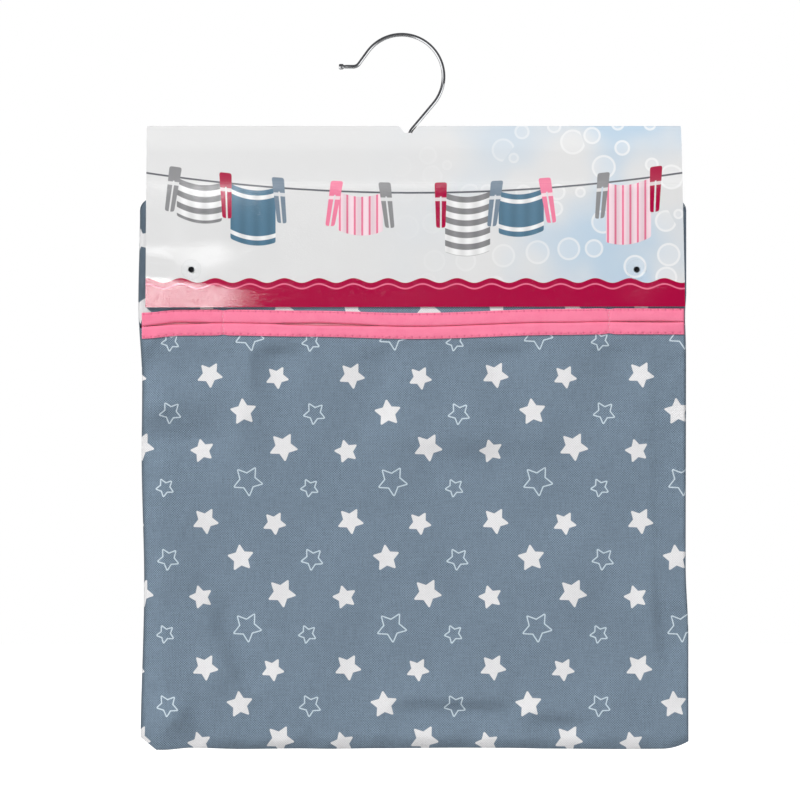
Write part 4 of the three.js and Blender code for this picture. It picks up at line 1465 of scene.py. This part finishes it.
def stud_pieces():
    """A flanged hollow stud and its rear ring on each side, by the node that each stands for."""
    made = {}
    flange = (STUD_HIGH[0] - STUD_LOW[0]) / 2
    front, back = STUD_LOW[1], STUD_HIGH[1]
    ring_front = STUD_CAP_LOW[1]
    thick = back - ring_front
    for place, middle in stud_centres():
        centre = np.array((middle[0], 0, middle[2]))
        floor_y = front + BORE_DEPTH
        stud = [
            (PIN_HOLE, floor_y), (STUD_BORE, floor_y),
            (STUD_BORE, front + 0.25), (STUD_BORE + 0.3, front), (flange - 1.6, front),
            (flange - 0.5, front + 0.2), (flange, front + 0.55), (flange - 0.15, front + thick),
            (STUD_BARREL + 0.3, front + thick), (STUD_BARREL, front + thick + 0.3),
            (STUD_BARREL, back - 0.2), (STUD_BARREL - 0.2, back), (STUD_BORE, back),
            (STUD_BORE, floor_y + BORE_WEB), (PIN_HOLE, floor_y + BORE_WEB),
        ]
        points, faces = lathe(stud, STUD_SIDES, centre)
        # The bore's floor and wall take the dark painted shade
        slots = (np.arange(len(faces)) < 2 * STUD_SIDES).astype(int)
        made[f"card_stud_{place}"] = make_object(f"stud_{place}", points, faces, [CLEAR, BORE_PAINTED_SHADE], slots)
        hole = STUD_BARREL + 0.15
        ring = [
            (hole, ring_front + 0.1), (hole + 0.2, ring_front), (flange - 0.2, ring_front),
            (flange, ring_front + 0.3), (flange - 0.5, back - 0.15), (flange - 1.4, back),
            (hole + 0.2, back), (hole, back - 0.15),
        ]
        turned = lathe(ring, STUD_SIDES, centre)
        made[f"card_stud_cap_{place}"] = make_object(f"stud_ring_{place}", *turned, [CLEAR])
    return made


# Building the object
HINGE_Z = FLAP_LOW[2]
LIP_BOW = (1.0, 0.12)


def open_with_mouth(piece):
    """Bends a piece out with the mouth flap: most at the middle of the lip, not at all at the bar tacks."""
    start = (MIDDLE_X * MM, -FACE * MM, HINGE_Z * MM)
    end = (MIDDLE_X * MM, -FACE * MM, LOWER_HIGH[2] * MM)
    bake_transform(piece, "bag", "mouth_flap", start=start, end=end)
    mesh = piece.data
    places = np.zeros(len(mesh.vertices) * 3)
    mesh.vertices.foreach_get("co", places)
    x = np.abs(places[::3] / MM - MIDDLE_X) / MOUTH_HALF
    weights = np.zeros(len(mesh.vertices))
    attribute = mesh.attributes["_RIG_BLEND"].data
    attribute.foreach_get("value", weights)
    attribute.foreach_set("value", (weights * smooth_step(*LIP_BOW, x)).astype(np.float32))


def dress(piece, body, slot, *nodes):
    """Rides a piece on a body, and puts it in the place of its CAD nodes."""
    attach(piece, body)
    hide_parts(*nodes)


def build():
    yoke, front, back = cloth_panels()
    upper = binding("upper_tape", 1, UPPER_WIDTH, upper_edge)
    lower = binding("lower_tape", -1, LOWER_WIDTH, lower_edge)
    upper_stitches = stitch_row("upper_stitches", 1, UPPER_WIDTH, upper_edge)
    lower_stitches = stitch_row("lower_stitches", -1, LOWER_WIDTH, lower_edge)
    facing = yoke_facing()

    dress(yoke, "bag", "printed_cloth", "front_yoke")
    dress(facing, "bag", "printed_cloth", "front_yoke")
    dress(back, "bag", "printed_cloth", "back_panel")
    dress(upper, "bag", "pink_tape", "upper_binding")
    dress(upper_stitches, "bag", "pink_thread", "upper_binding_thread")
    lower_nodes = ("left", "centre", "right")
    opening = [
        (front, "printed_cloth", ["front_panel", "mouth_flap"]),
        (lower, "pink_tape", [f"lower_binding_{place}" for place in lower_nodes]),
        (lower_stitches, "pink_thread", [f"lower_binding_thread_{place}" for place in lower_nodes]),
    ]
    for piece, slot, nodes in opening:
        open_with_mouth(piece)
        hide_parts(*nodes)
    for place, x_middle in zip(("left", "right"), TACK_X):
        tack = bar_tack(f"tack_{place}", x_middle)
        dress(tack, "bag", "pink_thread", f"bar_tack_{place}")
    for node, piece in seam_allowances().items():
        dress(piece, "bag", "printed_cloth", node)
    for node, piece in stud_pieces().items():
        dress(piece, "bag", "clear_plastic", node)
    dress(header_card(), "bag", "card_board", "header_card")
    dress(hook_wire(), "hook", "chrome_wire", "hook")
    for node, material in (("hanger", WOOD), ("hook_washer", CHROME)):
        frame["nodes"][node].data.materials.clear()
        frame["nodes"][node].data.materials.append(material)

    rise = NECK - SLIT
    rise * MM
    (SLIT - BOTTOM) * MM


# Stage: camera, lights, floor and world
PHOTO_SCALE = 300 / 545
PHOTO_AXIS_X = 408.5
PHOTO_SEAT_Y = 37.7
PHOTO_MIDDLE = 400
CAMERA_FAR = 4000
CAMERA_CLIP = 100
SENSOR = 36


def camera():
    """Looks straight at the bag's front, with the photograph's framing."""
    x = (PHOTO_MIDDLE - PHOTO_AXIS_X) * PHOTO_SCALE
    z = -(PHOTO_MIDDLE - PHOTO_SEAT_Y) * PHOTO_SCALE
    data = bpy.data.cameras.new("camera")
    data.sensor_width = SENSOR
    data.lens = SENSOR * (CAMERA_FAR - FACE / 2) / (2 * PHOTO_MIDDLE * PHOTO_SCALE)
    data.clip_end = CAMERA_CLIP
    made = bpy.data.objects.new("camera", data)
    made.location = (x * MM, -CAMERA_FAR * MM, z * MM)
    made.rotation_euler = (math.pi / 2, 0, 0)
    bpy.context.scene.collection.objects.link(made)
    bpy.context.scene.camera = made


# Each lamp: its place, its width and height in metres, and its power in watts
LAMP_AIM = (0.0, 0.0, -0.2)
ROOM_LAMPS = {
    "key": ((-4.4, -5.25, 5.2), (3.75, 3.75), 752),
    "fill": ((1.9, -2.6, 0.2), (1.4, 1.4), 9),
    "rear": ((0.6, 2.4, 1.4), (1.4, 1.2), 70),
}
CARD_LAMPS = {
    "glint": ((-0.1, -3.5, 0.36), (0.5, 0.25), 4.9),
    "glow": ((-0.2, -3.5, -0.45), (0.5, 0.2), 2.4),
}


def lamp(name, place, size, power, only_on=None):
    """A soft lamp. One made for some pieces only is also the one that their gloss mirrors."""
    data = bpy.data.lights.new(name, "AREA")
    data.shape = "RECTANGLE"
    data.size, data.size_y = size
    data.energy = power
    made = bpy.data.objects.new(name, data)
    made.location = place
    made.visible_camera = False
    made.visible_glossy = only_on is not None
    if only_on is not None:
        made.light_linking.receiver_collection = only_on
    made.rotation_euler = (Vector(LAMP_AIM) - Vector(place)).to_track_quat("-Z", "Y").to_euler()
    bpy.context.scene.collection.objects.link(made)


def lights():
    """A soft key from the upper left, a weak fill, one behind, and two small ones for the card alone."""
    for name, settings in ROOM_LAMPS.items():
        lamp(name, *settings)
    card = bpy.data.collections.new("card_gloss")
    card.objects.link(bpy.data.objects["header_card_sheet"])
    for name, settings in CARD_LAMPS.items():
        lamp(name, *settings, card)


def light_path(n, *kinds):
    """1 for any of the rays named."""
    path = n.add("ShaderNodeLightPath").outputs
    total = Field(n, path[kinds[0]])
    for kind in kinds[1:]:
        total = n.most(total, Field(n, path[kind]))
    return total


def seen_directly(n, *kinds):
    """1 for the rays named that have met nothing matt on their way."""
    bounces = n.out("ShaderNodeLightPath", output="Diffuse Depth")
    return light_path(n, *kinds) * (bounces < 0.5)


PANEL_CENTRE = (-0.6, -0.1)
PANEL_REACH = (0.55, 0.26)
PANEL_RIM = (1.15, 0.75)
PANEL_GAP = 0.11
GROUND_BEHIND = (0.88, 0.95)
STUDIO_DARK = (0.09, 0.09, 0.095, 1.0)
CAMERA_DARK = (0.0, 0.0, 0.0, 1.0)
PLAIN_WHITE = (1.0, 1.0, 1.0, 1.0)
SOFT_LIGHT = 0.13


def studio_panels(n):
    """What gloss and metal show: the white ground behind, a soft panel by the camera, and dark between."""
    x, y, z = n.split(n.out("ShaderNodeTexCoord", output="Generated"))
    beside = (x - PANEL_CENTRE[0]) / PANEL_REACH[0]
    above = (z - PANEL_CENTRE[1]) / PANEL_REACH[1]
    from_camera = n.length(n.join(x, z))
    ahead = y < 0.0
    panel = n.ramp(n.length(n.join(beside, above)), *PANEL_RIM)
    panel = panel * n.ramp(from_camera, 0.8 * PANEL_GAP, 1.3 * PANEL_GAP) * ahead
    by_camera = n.ramp(from_camera, 1.3 * PANEL_GAP, 0.9 * PANEL_GAP) * ahead
    dark = n.mix(by_camera, STUDIO_DARK, CAMERA_DARK)
    return n.mix(n.most(panel, n.ramp(y, *GROUND_BEHIND)), dark, PLAIN_WHITE)


def world():
    """White where the camera looks, a plain soft light elsewhere, and the studio's panels in gloss."""
    made = bpy.data.worlds.new("studio")
    bpy.context.scene.world = made
    made.use_nodes = True
    made.node_tree.nodes.clear()
    n = Nodes(made.node_tree)
    soft = n.out("ShaderNodeBackground", {"Color": PLAIN_WHITE, "Strength": SOFT_LIGHT})
    white = n.out("ShaderNodeBackground", {"Color": PLAIN_WHITE, "Strength": 1.0})
    mirror = n.out("ShaderNodeBackground", {"Color": studio_panels(n), "Strength": 1.0})
    seen = seen_directly(n, "Is Camera Ray", "Is Transmission Ray")
    glossy = light_path(n, "Is Glossy Ray")
    lit = n.out("ShaderNodeMixShader", {0: glossy, 1: soft, 2: mirror})
    both = n.out("ShaderNodeMixShader", {0: seen, 1: lit, 2: white})
    n.add("ShaderNodeOutputWorld", {"Surface": both})


FLOOR_Z = -0.47
FLOOR_REACH = 4.0
FLOOR_GLOW = 0.97
FLOOR_TONE = (0.64, 0.66)
FLOOR_FAINT = (0.2, 0.2, 0.2, 1.0)
# What gloss mirrors of the floor: lit from one place to another across it, and likewise along it
LIT_LEFT = ((-0.11, -0.23), (-0.02, -0.12))
LIT_RIGHT = ((0.32, 0.52), (-0.12, -0.3))
LIT_BEHIND = (1.2, 3.0)


def floor_material():
    """Pale matt ground that looks white to the camera, with a dark strip for gloss to mirror."""
    material = bpy.data.materials.new("floor_white")
    material.use_nodes = True
    material.node_tree.nodes.clear()
    n = Nodes(material.node_tree)
    place = n.place()
    mottle = n.ramp(n.noise(place, 6.0, 2.0), 0.3, 0.7, *FLOOR_TONE, False)
    plain = n.out("ShaderNodeBsdfDiffuse", {"Color": n.grey(mottle)})
    faint = n.out("ShaderNodeBsdfDiffuse", {"Color": FLOOR_FAINT})
    x, y, _ = n.split(place)
    mirrored = n.ramp(y, *LIT_BEHIND)
    for across, along in (LIT_LEFT, LIT_RIGHT):
        mirrored = n.most(mirrored, n.ramp(x, *across) * n.ramp(y, *along))
    mirrored = mirrored * light_path(n, "Is Glossy Ray")
    strength = n.most(mirrored, light_path(n, "Is Camera Ray", "Is Transmission Ray")) * FLOOR_GLOW
    glow = n.out("ShaderNodeEmission", {"Color": PLAIN_WHITE, "Strength": strength})
    shown = n.out("ShaderNodeAddShader", {0: faint, 1: glow})
    seen = light_path(n, "Is Camera Ray", "Is Glossy Ray", "Is Transmission Ray")
    surface = n.out("ShaderNodeMixShader", {0: seen, 1: plain, 2: shown})
    n.add("ShaderNodeOutputMaterial", {"Surface": surface})
    return material


def floor():
    """A pale floor well below the bag."""
    corners = [(-1, -1), (1, -1), (1, 1), (-1, 1)]
    points = np.array([(x * FLOOR_REACH, y * FLOOR_REACH, FLOOR_Z) for x, y in corners]) / MM
    plane = make_object("floor", points, [(0, 1, 2, 3)], [floor_material()], smooth=False)


camera()
build()
lights()
world()
floor()
bpy.context.scene.view_settings.view_transform = "Standard"
